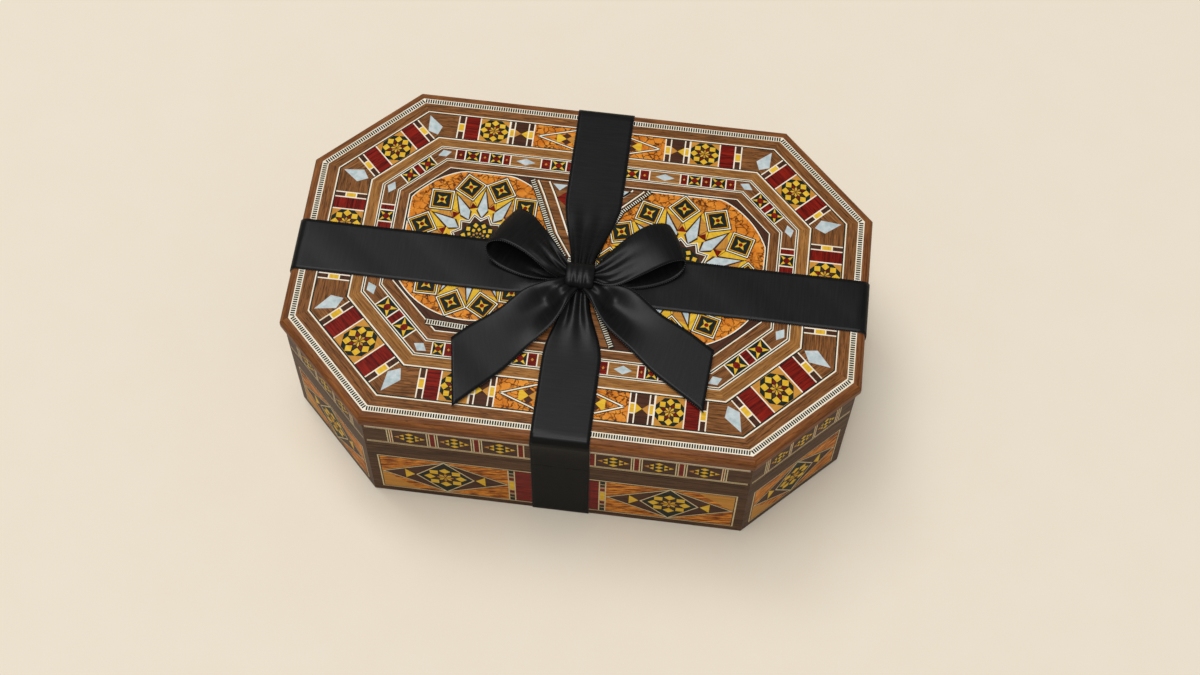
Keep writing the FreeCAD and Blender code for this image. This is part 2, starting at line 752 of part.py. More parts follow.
def inner_band(side, start, woods):
    """The narrow band on one side: star tiles, bars and pearl rhombi between the corner grounds."""
    width = size("inner_band_width")
    end = start + width
    middle, half = side.top_stretch(end)
    frame = side.top_frame()
    along, across = RHOMBUS_PEARL_SHARES
    reach = 0.0
    for name, near, far in sections(INNER_BAND_SHARES[side.kind], half):
        reach = far
        for u_from, u_to in mirrored(near, far, middle):
            box = rectangle(u_from, u_to, start, end)
            if name == "star":
                woods["ebony"].append(tile(frame, box))
            elif name == "bar":
                woods["padauk"].append(tile(frame, box))
            elif name == "rhombus":
                centre = ((u_from + u_to) / 2, (start + end) / 2)
                pearl = diamond(centre, (u_to - u_from) / 2 * along, width / 2 * across)
                woods["walnut"].append(tile(frame, box, [pearl]))
                woods["pearl"].append(tile(frame, pearl))
            else:
                woods["walnut"].append(tile(frame, box))
    band_ends(side, start, width, reach, INNER_PEARL_SHARES, woods["walnut"])


def star_ring(middle, outer, inner, count, turn):
    """A zigzag outline: outer points at the turn, inner points between them."""
    u, v = middle
    points = []
    for index in range(2 * count):
        angle = turn + math.pi * index / count
        radius = inner if index % 2 else outer
        points.append((u + radius * math.cos(angle), v + radius * math.sin(angle)))
    return points


def medallion(frame, radius, turn, woods):
    """A twelve-fold medallion: framed squares on burl round a star with pearl kites and a zigzag.

    Returns the disc's outline on the lid's top.
    """
    middle = (0, 0)
    step = 2 * math.pi / MEDALLION_COUNT
    outer_edge = []
    inner_edge = []
    kites = []
    tip, widest, foot, half = (share * radius for share in KITE_SHARES)
    for index in range(MEDALLION_COUNT):
        angle = turn + index * step
        between = angle - step / 2
        square = turned_square(middle, SQUARE_RING_SHARE * radius, SQUARE_CORNER_SHARE * radius, angle)
        core = turned_square(middle, SQUARE_RING_SHARE * radius, SQUARE_INNER_SHARE * radius, angle)
        woods["frames"].append(tile(frame, square, [core]))
        woods["ebony"].append(tile(frame, core))
        notch = (NOTCH_SHARE * radius * math.cos(between), NOTCH_SHARE * radius * math.sin(between))
        outer_edge += [notch, square[3], square[0], square[1]]
        inner_edge += [notch, square[3], square[2], square[1]]
        way = (math.cos(between), math.sin(between))
        ends = [(reach * way[0], reach * way[1]) for reach in (tip, widest, foot)]
        wide = [(ends[1][0] - sign * half * way[1], ends[1][1] + sign * half * way[0]) for sign in (1, -1)]
        kites.append([ends[0], wide[0], ends[2], wide[1]])
    out_share, in_share = ZIGZAG_SHARES
    zigzag, heart = (star_ring(middle, (out_share - line) * radius, (in_share - line) * radius,
                               MEDALLION_COUNT, turn) for line in (0, ZIGZAG_LINE_SHARE))
    disc = polygon(middle, radius, DISC_COUNT, turn)
    woods["burl"].append(tile(frame, disc, [outer_edge]))
    woods["lemonwood"].append(tile(frame, inner_edge, [zigzag, *kites]))
    for kite in kites:
        woods["pearl"].append(tile(frame, kite))
    woods["frames"].append(tile(frame, zigzag, [heart]))
    woods["ebony"].append(tile(frame, heart))
    return [frame.at(*point) for point in disc]


def ring_corners(depth):
    """The corners of a band's edge at a nominal depth, on the lid's top."""
    return [side.top_frame().at(side.top_end(1, depth), depth) for side in SIDES]


def ring_tile(start, width):
    """A band that runs right round the top."""
    return slab(ring_corners(start), UP, [ring_corners(start + width)])


def medallion_frames(depth):
    """The medallions' frames, and their radius in the field that the bands leave."""
    walls = {side.name: side.top_frame().at(0, depth) for side in SIDES}
    half_width = (walls["back"].y - walls["front"].y) / 2
    half_length = (walls["right"].x - walls["left"].x) / 2
    radius = min(half_width * MEDALLION_HEIGHT_SHARE, half_length / 2 * MEDALLION_FIELD_SHARE)
    shift = (half_width * MEDALLION_FIELD_SHARE - radius) * MEDALLION_BACK_SHARE
    level = (walls["back"].y + walls["front"].y) / 2 + shift
    frames = []
    for sign, share in zip((-1, 1), MEDALLION_WIDTH_SHARES):
        middle = TOP.at(sign * (half_length - radius * share / MEDALLION_FIELD_SHARE), level)
        frames.append(Frame(middle, TOP.along * share, TOP.up))
        for side in SIDES:
            room = (walls[side.name] - middle).dot(side.out) * MEDALLION_FIELD_SHARE
            radius = min(radius, room / math.hypot(share * side.out.x, side.out.y))
    return frames, radius


def build_top():
    """The lid's mosaic, band by band from the moulding to the medallions."""
    woods = defaultdict(list)
    start = 0.0
    rings = (("ladder", "ladder_width"), ("banding", "outer_banding_width"), ("lines", "line_width"),
             ("outer_band", "outer_band_width"), ("lines", "line_width"), ("light", "light_banding_width"),
             ("lines", "inner_line_width"), ("inner_band", "inner_band_width"), ("lines", "inner_line_width"),
             ("banding", "field_banding_width"), ("lines", "field_line_width"))
    for wood, alias in rings:
        if wood == "outer_band":
            for side in SIDES:
                outer_band(side, start, woods)
            corner_pearls(start, size(alias), OUTER_PEARL_SHARES, woods["pearl"])
        elif wood == "inner_band":
            for side in SIDES:
                inner_band(side, start, woods)
            corner_pearls(start, size(alias), INNER_PEARL_SHARES, woods["pearl"])
        else:
            woods[wood].append(ring_tile(start, size(alias)))
        start += size(alias)
    frames, radius = medallion_frames(start)
    turns = (SQUARE_TURN + math.pi / MEDALLION_COUNT, SQUARE_TURN)
    discs = [medallion(frame, radius, turn, woods) for frame, turn in zip(frames, turns)]
    woods["field"].append(slab(ring_corners(start), UP, discs))
    labels = {"ladder": "top_ladder_stringing", "lines": "top_bone_lines", "banding": "top_walnut_bandings",
              "light": "top_light_banding", "walnut": "top_walnut_grounds", "field": "top_walnut_field",
              "strips": "top_block_strips", "padauk": "top_padauk_bars", "burl": "top_burl_grounds",
              "ebony": "top_ebony_grounds", "lemonwood": "top_lemonwood_tesserae", "pearl": "top_pearl_kites",
              "frames": "top_medallion_frames"}
    write_woods(woods, labels)


def write_woods(woods, labels):
    """One node for each wood, with its tiles as separate solids."""
    for wood, label in labels.items():
        node(feature(label, Part.makeCompound(woods[wood])), label)


def rhombus_panel(frame, u_from, u_to, v_from, v_to, woods):
    """A wall panel: burl corners round a walnut rhombus with an ebony diamond and two lemonwood triangles."""
    u = (u_from + u_to) / 2
    v = (v_from + v_to) / 2
    half = (u_to - u_from) / 2
    tall = (v_to - v_from) / 2
    foot, point, rise = TRIANGLE_SHARES
    top = (u, v_to)
    bottom = (u, v_from)
    woods["ebony"].append(tile(frame, diamond((u, v), half * DIAMOND_SHARE, tall)))
    for sign, end in ((-1, u_from), (1, u_to)):
        tip = (end, v)
        waist = (u + sign * half * DIAMOND_SHARE, v)
        triangle = [(u + sign * half * foot, v - tall * rise), (u + sign * half * point, v),
                    (u + sign * half * foot, v + tall * rise)]
        woods["walnut"].append(tile(frame, [tip, top, waist, bottom], [triangle]))
        woods["lemonwood"].append(tile(frame, triangle))
        woods["burl"].append(tile(frame, [tip, (end, v_to), top]))
        woods["burl"].append(tile(frame, [tip, (end, v_from), bottom]))


def base_panel(side, woods):
    """The mosaic let into one wall of the base."""
    frame = side.wall_frame(PANEL_BOTTOM)
    line = size("panel_line_width")
    outer = side.half(WALLS) - size("panel_margin")
    low = line
    high = line + size("panel_height")
    half = outer - line
    woods["lines"].append(tile(frame, rectangle(-outer, outer, 0, high + line),
                               [rectangle(-half, half, low, high)]))
    if side.kind == "corner":
        rhombus_panel(frame, -half, half, low, high, woods)
        return
    reach = 0.0
    for wood, near, far in sections(PANEL_SHARES[side.kind], half):
        reach = far
        for u_from, u_to in mirrored(near, far):
            woods[wood].append(tile(frame, rectangle(u_from, u_to, low, high)))
    rhombus_panel(frame, reach, half, low, high, woods)
    rhombus_panel(frame, -half, -reach, low, high, woods)


def rim_band(side, woods):
    """The mosaic let into one wall of the lid's rim: two light lines and a row of tiles."""
    frame = side.wall_frame(RIM_MOSAIC_BOTTOM)
    line = size("rim_line_width")
    half = side.half(WALLS) - size("rim_margin")
    low = line
    high = line + size("rim_band_width")
    woods["lines"].append(tile(frame, rectangle(-half, half, 0, low)))
    woods["lines"].append(tile(frame, rectangle(-half, half, high, high + line)))
    for wood, near, far in sections(RIM_SHARES[side.kind], half):
        for u_from, u_to in mirrored(near, far):
            woods[wood].append(tile(frame, rectangle(u_from, u_to, low, high)))


def build_wall_mosaic():
    """The mosaic of the base's walls and of the lid's rim."""
    base = defaultdict(list)
    rim = defaultdict(list)
    for side in SIDES:
        base_panel(side, base)
        rim_band(side, rim)
    write_woods(base, {"lines": "base_panel_lines", "burl": "base_panel_burl", "walnut": "base_panel_walnut",
                       "ebony": "base_panel_ebony", "lemonwood": "base_panel_lemonwood",
                       "padauk": "base_panel_padauk", "strips": "base_panel_strips"})
    write_woods(rim, {"lines": "rim_light_lines", "walnut": "rim_walnut_blocks",
                      "diamonds": "rim_diamond_tiles", "padauk": "rim_padauk_spacers"})


# Ribbon

RIBBON_MIDDLE = Vector(size("crosswise_ribbon_right"), -size("lengthwise_ribbon_forward"), 0)
KNOT_MIDDLE = Vector(size("knot_right"), -size("knot_forward"), 0)


def along_path(frame, inner, outer):
    """A ribbon's solid from the two faces of its path, drawn in a plane and pushed out to its width."""
    def edges(path):
        made = []
        for start, end in zip(path, path[1:]):
            if len(end) == 3:
                made.append(Part.Arc(frame.at(*start[:2]), frame.at(*end[2]), frame.at(*end[:2])).toShape())
            else:
                made.append(Part.makeLine(frame.at(*start[:2]), frame.at(*end[:2])))
        return made

    first = Part.makeLine(frame.at(*inner[0][:2]), frame.at(*outer[0][:2]))
    last = Part.makeLine(frame.at(*inner[-1][:2]), frame.at(*outer[-1][:2]))
    wire = Part.Wire(Part.__sortEdges__(edges(inner) + [last] + edges(outer) + [first]))
    solid = Part.Face(wire).extrude(frame.out * size("ribbon_width"))
    solid.translate(frame.out * (-size("ribbon_width") / 2))
    return solid


def plan_prism(points, low, high):
    """An upright prism over a plan outline."""
    base = [Vector(point.x, point.y, low) for point in points]
    return Part.Face(Part.makePolygon(base + base[:1])).extrude(UP * (high - low))


def lid_ribbon(out, reach, wall_face):
    """One length of ribbon from the knot over the moulding and down the rim to the seam."""
    frame = Frame(RIBBON_MIDDLE, out, UP)
    gap = size("ribbon_clearance")
    thick = size("ribbon_thickness")
    bend = size("moulding_round")
    offset = KNOT_MIDDLE - RIBBON_MIDDLE
    start = out.dot(offset) + max(size("knot_length"), size("knot_width")) / 2 + size("bow_clearance")
    middle = out.dot(RIBBON_MIDDLE)
    edge = reach - middle
    face = wall_face - middle
    tuck = RIM_TOP - size("ribbon_tuck_height")
    under = RIM_TOP + bend
    end = RIM_BOTTOM + size("ribbon_seam_gap")

    def path(off):
        turn = bend + off
        slope = turn * math.sqrt(0.5)
        centre = (edge - bend, LID_TOP - bend)
        half_way = (centre[0] + slope, centre[1] + slope)
        return [(start, LID_TOP + off), (centre[0], LID_TOP + off), (edge + off, centre[1], half_way),
                (edge + off, under), (face + off, tuck), (face + off, end)]

    band = along_path(frame, path(gap), path(gap + thick))
    across = UP.cross(out)
    narrow = size("gather_width") / 2
    wide = size("ribbon_width") / 2
    full = start + size("gather_length")
    far = edge + size("overrun")
    root = across.dot(offset)
    plan = [(start, root - narrow), (full, -wide), (far, -wide), (far, wide), (full, wide),
            (start, root + narrow)]
    points = [RIBBON_MIDDLE + out * along + across * side for along, side in plan]
    return band.common(plan_prism(points, 0, LID_TOP + size("knot_height"))).Solids[0]


def base_ribbons():
    """The ribbon below the seam: lengths down the walls, joined under the box, one crossing the other."""
    gap = size("ribbon_clearance")
    thick = "Sizes.ribbon_thickness"
    wide = "Sizes.ribbon_width"
    tall = "Sizes.ribbon_thickness + Sizes.base_wall_height - Sizes.ribbon_seam_gap"
    half = size("ribbon_width") / 2
    x = RIBBON_MIDDLE.x - half
    y = RIBBON_MIDDLE.y - half
    end = WALLS.half_length + gap
    edge = WALLS.half_width + gap
    long_run = "Sizes.lid_length - 2 * Sizes.lid_overhang + 2 * Sizes.ribbon_clearance"
    lengthwise = [block("ribbon_left_length", thick, wide, tall, Vector(-end - FOOT, y, 0)),
                  block("ribbon_under_length", long_run, wide, thick, Vector(-end, y, 0)),
                  block("ribbon_right_length", thick, wide, tall, Vector(end, y, 0))]
    node(group("ribbon_base_lengthwise_group", lengthwise), "ribbon_base_lengthwise")
    lap = size("ribbon_bridge_lap")
    reach = "Sizes.lid_width / 2 - Sizes.lid_overhang + Sizes.ribbon_clearance"
    to_front = f"{reach} - Sizes.lengthwise_ribbon_forward - Sizes.ribbon_width / 2 - Sizes.ribbon_clearance"
    to_back = f"{reach} + Sizes.lengthwise_ribbon_forward - Sizes.ribbon_width / 2 - Sizes.ribbon_clearance"
    bridge = "Sizes.ribbon_width + 2 * (Sizes.ribbon_clearance + Sizes.ribbon_bridge_lap)"
    crosswise = [block("ribbon_front_length", wide, thick, tall, Vector(x, -edge - FOOT, 0)),
                 block("ribbon_under_front", wide, to_front, thick, Vector(x, -edge, 0)),
                 block("ribbon_bridge", wide, bridge, thick, Vector(x, y - gap - lap, FOOT)),
                 block("ribbon_under_back", wide, to_back, thick, Vector(x, y + 2 * half + gap, 0)),
                 block("ribbon_back_length", wide, thick, tall, Vector(x, edge, 0))]
    node(group("ribbon_base_crosswise_group", crosswise), "ribbon_base_crosswise")


def knot_room():
    """The space that the knot takes, with its clearance."""
    gap = size("bow_clearance")
    corner = KNOT_MIDDLE - Vector(size("knot_length") / 2 + gap, size("knot_width") / 2 + gap, 0)
    return Part.makeBox(size("knot_length") + 2 * gap, size("knot_width") + 2 * gap,
                        size("knot_height") + 2 * gap, corner + UP * LID_TOP)


def build_knot():
    """The knot: a bar with rounded long edges on the lid, where the four lengths meet."""
    corner = KNOT_MIDDLE - Vector(size("knot_length") / 2, size("knot_width") / 2, 0)
    box = block("knot_block", "Sizes.knot_length", "Sizes.knot_width", "Sizes.knot_height",
                corner + UP * (LID_TOP + size("ribbon_clearance")))
    doc.recompute()
    rounded = doc.addObject("Part::Fillet", "knot_rounded")
    rounded.Base = box
    bend = size("knot_round")
    rounded.Edges = [(index, bend, bend) for index, edge in enumerate(box.Shape.Edges, start=1)
                     if edge.tangentAt(edge.FirstParameter).isParallel(Vector(1, 0, 0), math.radians(1))]
    node(rounded, "bow_knot")


def loop_section(start, degrees, length, rise):
    """One edge of a loop: a ribbon that leaves the knot, swells, turns and returns below itself."""
    out = Rotation(UP, degrees).multVec(Vector(1, 0, 0))
    frame = Frame(start, out, UP)
    low = size("loop_drop")
    half_turn = (rise + low) / 2
    bulge = math.sqrt(0.5)

    def path(off):
        top = rise - off
        bottom = -low + off
        level = (top + bottom) / 2
        shoulder = length - half_turn
        end = length - off
        mouth = size("loop_mouth") / 2 - off / 2
        swell = shoulder / 2
        corner = (shoulder + (end - shoulder) * bulge, level + (top - level) * bulge)
        lower = (corner[0], level - (top - level) * bulge)
        return [((0, mouth), (swell, top - (top - mouth) * (1 - bulge)), (shoulder, top)),
                ((shoulder, top), corner, (end, level)), ((end, level), lower, (shoulder, bottom)),
                ((shoulder, bottom), (swell, bottom - (bottom + mouth) * (1 - bulge)), (0, -mouth))]

    outer = path(0)
    inner = [piece[::-1] for piece in reversed(path(size("loop_thickness")))]
    points = []
    for pieces in (outer, inner):
        for piece in pieces:
            arc = Part.Arc(*(frame.at(*point) for point in piece))
            points += arc.discretize(Number=LOOP_STEPS + 1)[:-1]
        points.append(frame.at(*pieces[-1][2]))
    return points


def facet(*corners):
    """A flat face with these corners."""
    return Part.Face(Part.makePolygon([*corners, corners[0]]))


def folded(back, front):
    """A solid between two outlines of as many points, its sides folded into flat facets."""
    faces = [facet(*back), facet(*front)]
    for index, start in enumerate(back):
        end = back[index - 1]
        faces += [facet(start, end, front[index]), facet(end, front[index - 1], front[index])]
    skin = Part.Shell(faces)
    skin.sewShape()
    return Part.Solid(skin)


def loop(name, sign):
    """A loop of ribbon, spread between its back edge and its front edge."""
    outlines = []
    for edge, way in (("back", 1), ("front", -1)):
        across = way * size("loop_root_width") / 2
        root = sign * (size("knot_length") / 2 + size("bow_clearance"))
        start = KNOT_MIDDLE + Vector(root, across, LID_TOP + size("loop_level"))
        numbers = [size(f"{name}_loop_{edge}_{item}") for item in ("degrees", "length", "rise")]
        outlines.append(loop_section(start, *numbers))
    return folded(*outlines)


def tail(name):
    """A tail of ribbon that comes down from the knot and lies on the lid, cut on the slant."""
    out = Rotation(UP, size(f"{name}_tail_degrees")).multVec(Vector(1, 0, 0))
    across = UP.cross(out)
    level = LID_TOP + size("ribbon_clearance") + size("ribbon_thickness") + size("tail_lift")
    top = level + size("tail_rise")
    frame = Frame(KNOT_MIDDLE, out, UP)
    start = size("knot_length") / 2
    fall = start + size("tail_fall")
    length = size(f"{name}_tail_length")
    slant = size(f"{name}_tail_slant")
    far = length + abs(slant)

    def path(off):
        return [(start, top + off), (fall, level + off), (far, level + off)]

    band = along_path(frame, path(0), path(size("ribbon_thickness")))
    narrow = size("tail_root_width") / 2
    wide = size("ribbon_width") / 2
    full = start + size("gather_length")
    plan = [(0, -narrow), (full, -wide), (length - slant / 2, -wide), (length + slant / 2, wide),
            (full, wide), (0, narrow)]
    points = [KNOT_MIDDLE + out * along + across * side for along, side in plan]
    shaped = band.common(plan_prism(points, 0, LID_TOP + size("knot_height")))
    return shaped.cut(knot_room()).Solids[0]


def build_ribbon():
    """The ribbon on the lid and on the base, and the bow."""
    base_ribbons()
    right = Vector(1, 0, 0)
    ahead = Vector(0, 1, 0)
    lengthwise = [lid_ribbon(way, LID.half_length, WALLS.half_length) for way in (right, right * -1)]
    crosswise = [lid_ribbon(way, LID.half_width, WALLS.half_width) for way in (ahead, ahead * -1)]
    node(feature("ribbon_lid_lengthwise", Part.makeCompound(lengthwise)), "ribbon_lid_lengthwise")
    node(feature("ribbon_lid_crosswise", Part.makeCompound(crosswise)), "ribbon_lid_crosswise")
    build_knot()
    for name, sign in (("left", -1), ("right", 1)):
        node(feature(f"bow_{name}_loop", loop(name, sign)), f"bow_{name}_loop")
        node(feature(f"bow_{name}_tail", tail(name)), f"bow_{name}_tail")


def check_objects():
    """Stops if any object failed or any piece is empty or invalid."""
    for thing in doc.Objects:
        if "Invalid" in thing.State or "Error" in thing.State:
            raise RuntimeError(f"{thing.Name} failed: {thing.State}")
    for piece in nodes:
        shape = piece.Shape
        if shape.isNull() or not shape.isValid() or not shape.Solids:
            raise RuntimeError(f"{piece.Label} has no valid solid")
        if min(solid.Volume for solid in shape.Solids) <= 0:
            raise RuntimeError(f"{piece.Label} has a solid inside out")


build_walls()
build_boards()
build_hinges()
build_top()
build_wall_mosaic()
build_ribbon()
doc.recompute()
check_objects()
os.makedirs("parts", exist_ok=True)
for piece in nodes:
    piece.Shape.exportStep(f"parts/{piece.Label}.step")
print(f"{len(nodes)} pieces, {sum(len(piece.Shape.Solids) for piece in nodes)} solids")
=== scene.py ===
"""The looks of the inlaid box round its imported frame: mosaic, woods, velvet, brass and satin ribbon."""
from __future__ import annotations

import json
import logging
import math
from collections import defaultdict
from collections.abc import Iterable, Sequence
from dataclasses import dataclass, field
from enum import Enum
from functools import cache

import bpy
from mathutils import Matrix, Vector

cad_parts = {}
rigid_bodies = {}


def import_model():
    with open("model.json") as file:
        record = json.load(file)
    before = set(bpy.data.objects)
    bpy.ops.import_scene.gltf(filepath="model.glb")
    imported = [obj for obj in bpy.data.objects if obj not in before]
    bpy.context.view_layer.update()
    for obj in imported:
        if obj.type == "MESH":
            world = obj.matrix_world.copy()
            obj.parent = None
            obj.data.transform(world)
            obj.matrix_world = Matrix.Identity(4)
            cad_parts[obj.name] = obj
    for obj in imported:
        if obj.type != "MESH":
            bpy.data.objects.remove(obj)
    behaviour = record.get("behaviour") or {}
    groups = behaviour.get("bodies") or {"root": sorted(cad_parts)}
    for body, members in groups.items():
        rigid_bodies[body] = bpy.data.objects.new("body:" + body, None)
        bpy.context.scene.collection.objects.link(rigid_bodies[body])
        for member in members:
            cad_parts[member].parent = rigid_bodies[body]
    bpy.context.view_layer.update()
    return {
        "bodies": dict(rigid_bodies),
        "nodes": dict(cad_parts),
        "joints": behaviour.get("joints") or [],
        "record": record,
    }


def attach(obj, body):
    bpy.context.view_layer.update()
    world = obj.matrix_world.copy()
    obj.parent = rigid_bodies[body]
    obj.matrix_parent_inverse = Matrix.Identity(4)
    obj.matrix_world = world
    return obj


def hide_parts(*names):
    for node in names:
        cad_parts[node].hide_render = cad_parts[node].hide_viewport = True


LOG = logging.getLogger("mosaic_box")
MM = 0.001
UP = Vector((0, 0, 1))
Point = tuple[float, float]
Place = tuple[float, float, float]
Rows = list[list[Vector]]
Colour = tuple[float, float, float, float]
Socket = bpy.types.NodeSocket
NodeTree = bpy.types.NodeTree
Node = bpy.types.Node
Material = bpy.types.Material
Piece = bpy.types.Object


def linear(red: int, green: int, blue: int) -> Colour:
    """Turns a screen colour into the linear colour that shaders take.

    Args:
        red: Red from 0 to 255.
        green: Green from 0 to 255.
        blue: Blue from 0 to 255.

    Returns:
        The colour with full alpha.
    """
    def channel(value: int) -> float:
        """One channel, by the screen curve."""
        share = value / 255
        return share / 12.92 if share <= 0.04045 else ((share + 0.055) / 1.055) ** 2.4

    return channel(red), channel(green), channel(blue), 1.0


class Wood(Enum):
    """What the tiles are cut from, with the record's material slot of each."""

    WALNUT = "walnut"
    DARK_WALNUT = "dark_walnut"
    LIGHT_WALNUT = "light_walnut"
    RED_WALNUT = "red_walnut"
    BROWN_WALNUT = "brown_walnut"
    BURL = "burl"
    APRICOT = "apricot"
    HONEY = "honey"
    PADAUK = "padauk"
    EBONY = "ebony"
    LEMONWOOD = "lemonwood"
    MAPLE = "maple"
    BONE = "bone"
    PEARL = "pearl"

    @property
    def slot(self) -> str:
        """The record's slot."""
        shared = {"apricot": "burl", "honey": "lemonwood", "light_walnut": "light_walnut"}
        return shared.get(self.value, "walnut" if self.value.endswith("walnut") else self.value)


class RowShape(Enum):
    """What a row along a path is made of."""

    BLOCK = "block"
    BEAD = "bead"


# Node trees

class Tree:
    """A node tree with short calls for adding and joining nodes."""

    def __init__(self, tree: NodeTree) -> None:
        """Keeps the tree."""
        self.tree = tree

    def feed(self, socket: Socket, value: object) -> None:
        """Joins an output to a socket, or sets the socket's own value."""
        if isinstance(value, Socket):
            self.tree.links.new(value, socket)
        else:
            socket.default_value = value

    def add(self, kind: str, inputs: dict[object, object] | None = None,
            **settings: object) -> Node:
        """Adds a node.

        Args:
            kind: The node's type.
            inputs: Values or outputs for its inputs, by name or number.
            **settings: Its own properties.

        Returns:
            The node.
        """
        made = self.tree.nodes.new(kind)
        for name, value in settings.items():
            setattr(made, name, value)
        for name, value in (inputs or {}).items():
            self.feed(made.inputs[name], value)
        return made

    def math(self, operation: str, *values: object) -> Socket:
        """The output of a Math node."""
        return self.add("ShaderNodeMath", dict(enumerate(values)), operation=operation).outputs[0]

    def between(self, value: object, start: float, end: float, low: float = 0.0,
                high: float = 1.0) -> Socket:
        """A value mapped from one range to another and kept inside it."""
        made = self.add("ShaderNodeMapRange", {0: value, 1: start, 2: end, 3: low, 4: high}, clamp=True)
        return made.outputs[0]

    def mix(self, share: object, first: object, second: object) -> Socket:
        """Two colours mixed by a share."""
        made = self.add("ShaderNodeMix", {0: share, 6: first, 7: second}, data_type="RGBA")
        return made.outputs[2]

    def choose(self, share: object, first: object, second: object) -> Socket:
        """Two numbers mixed by a share."""
        made = self.add("ShaderNodeMix", {0: share, 2: first, 3: second}, data_type="FLOAT")
        return made.outputs[0]

    def noise(self, vector: object, scale: float, detail: float = 3.0,
              rough: float = 0.55) -> Socket:
        """A noise value on a vector."""
        made = self.add("ShaderNodeTexNoise", {"Vector": vector, "Scale": scale, "Detail": detail,
                                               "Roughness": rough})
        return made.outputs[0]

    def scaled(self, vector: object, by: Sequence[float]) -> Socket:
        """A vector multiplied axis by axis."""
        made = self.add("ShaderNodeVectorMath", {0: vector, 1: tuple(by)}, operation="MULTIPLY")
        return made.outputs[0]

    def place(self) -> Socket:
        """A point's place on the piece, in millimetres."""
        return self.scaled(self.add("ShaderNodeTexCoord").outputs["Object"], (1 / MM,) * 3)


def node_group(kind: str, name: str, inputs: dict[str, str],
               outputs: dict[str, str]) -> tuple[Tree, Node, Node]:
    """A new node group with its sockets.

    Args:
        kind: The type of its tree.
        name: The group's name.
        inputs: For each input its socket type.
        outputs: For each output its socket type.

    Returns:
        The group's tree, its input node and its output node.
    """
    group = bpy.data.node_groups.new(name, kind)
    for way, sockets in (("INPUT", inputs), ("OUTPUT", outputs)):
        for label, socket in sockets.items():
            group.interface.new_socket(label, in_out=way, socket_type=socket)
    tree = Tree(group)
    return tree, tree.add("NodeGroupInput"), tree.add("NodeGroupOutput")


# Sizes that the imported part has, in millimetres

@dataclass(frozen=True)
class Outline:
    """An eight-sided outline with corners cut at 45 degrees."""

    half_length: float
    half_width: float
    cut: float

    def inset(self, step: float) -> Outline:
        """The outline a step further in."""
        return Outline(self.half_length - step, self.half_width - step, self.cut - step * (2 - math.sqrt(2)))


OVERHANG = 1.5
MOULDING_WIDTH = 4.0
LID = Outline(half_length=125.0, half_width=83.0, cut=41.5)
WALLS = LID.inset(OVERHANG)
MOSAIC = LID.inset(MOULDING_WIDTH)
BASE_TOP = 49.0
RIM_BOTTOM = 49.3
LID_TOP = 77.0
RIBBON_WIDTH = 25.0
RIBBON_THICKNESS = 0.5
RIBBON_MIDDLE = Vector((1.5, -3.2, 0))
KNOT = Vector((0.5, -6.8, 0))
LAYER = 0.03
# How wide the left and the right medallion are for their height
MEDALLION_WIDTH_SHARES = (0.865, 1.0)
# Ladder lines between the medallions, from the field's edge to the middle
CROSSING_LINES = (((-27.0, 42.4), (-23.6, 35.5), (-15.3, 16.2), (-8.0, 5.0)),
                  ((25.6, 42.4), (14.2, 30.5), (8.8, 19.0), (5.0, 5.0)),
                  ((-17.6, -36.6), (-7.4, -14.7), (-5.0, 4.6)), ((17.6, -36.6), (7.4, -14.7), (5.0, 4.6)))
FRONT_LADDER = ((-62.5, -34.2), (-20.0, -36.2))
CROSSING_MIDDLE = 0.5
# Offset, width and wood of the lines that make a ladder, and of those beside it at the back
LADDER_STRINGS = ((0.0, 2.2, Wood.BONE), (1.3, 0.4, Wood.EBONY), (-1.3, 0.4, Wood.EBONY))
CROSSING_STRINGS = (*LADDER_STRINGS, (-2.6, 0.7, Wood.BONE), (-3.2, 0.4, Wood.EBONY), (-7.6, 0.7, Wood.BONE),
                    (-8.2, 0.4, Wood.EBONY))
FRONT_STRINGS = ((0.0, 2.4, Wood.BONE), (1.4, 0.4, Wood.EBONY), (-1.4, 0.4, Wood.EBONY))
# Triangles behind the knot, from the box's middle outwards and from the field's back edge forwards
CROSSING_TRIANGLES = {Wood.PEARL: ((17.6, 0.9), (11.0, 0.9), (14.3, 4.2)),
                      Wood.PADAUK: ((15.0, 8.0), (7.0, 0.9), (7.0, 15.0))}


@dataclass(frozen=True)
class Face:
    """A flat face to inlay: a middle point and the ways along and up it."""

    middle: Vector
    along: Vector
    up: Vector

    @property
    def out(self) -> Vector:
        """The unit way out of the face."""
        return self.along.cross(self.up).normalized()

    def at(self, u: float, v: float) -> Vector:
        """The point at u along and v up."""
        return self.middle + self.along * u + self.up * v


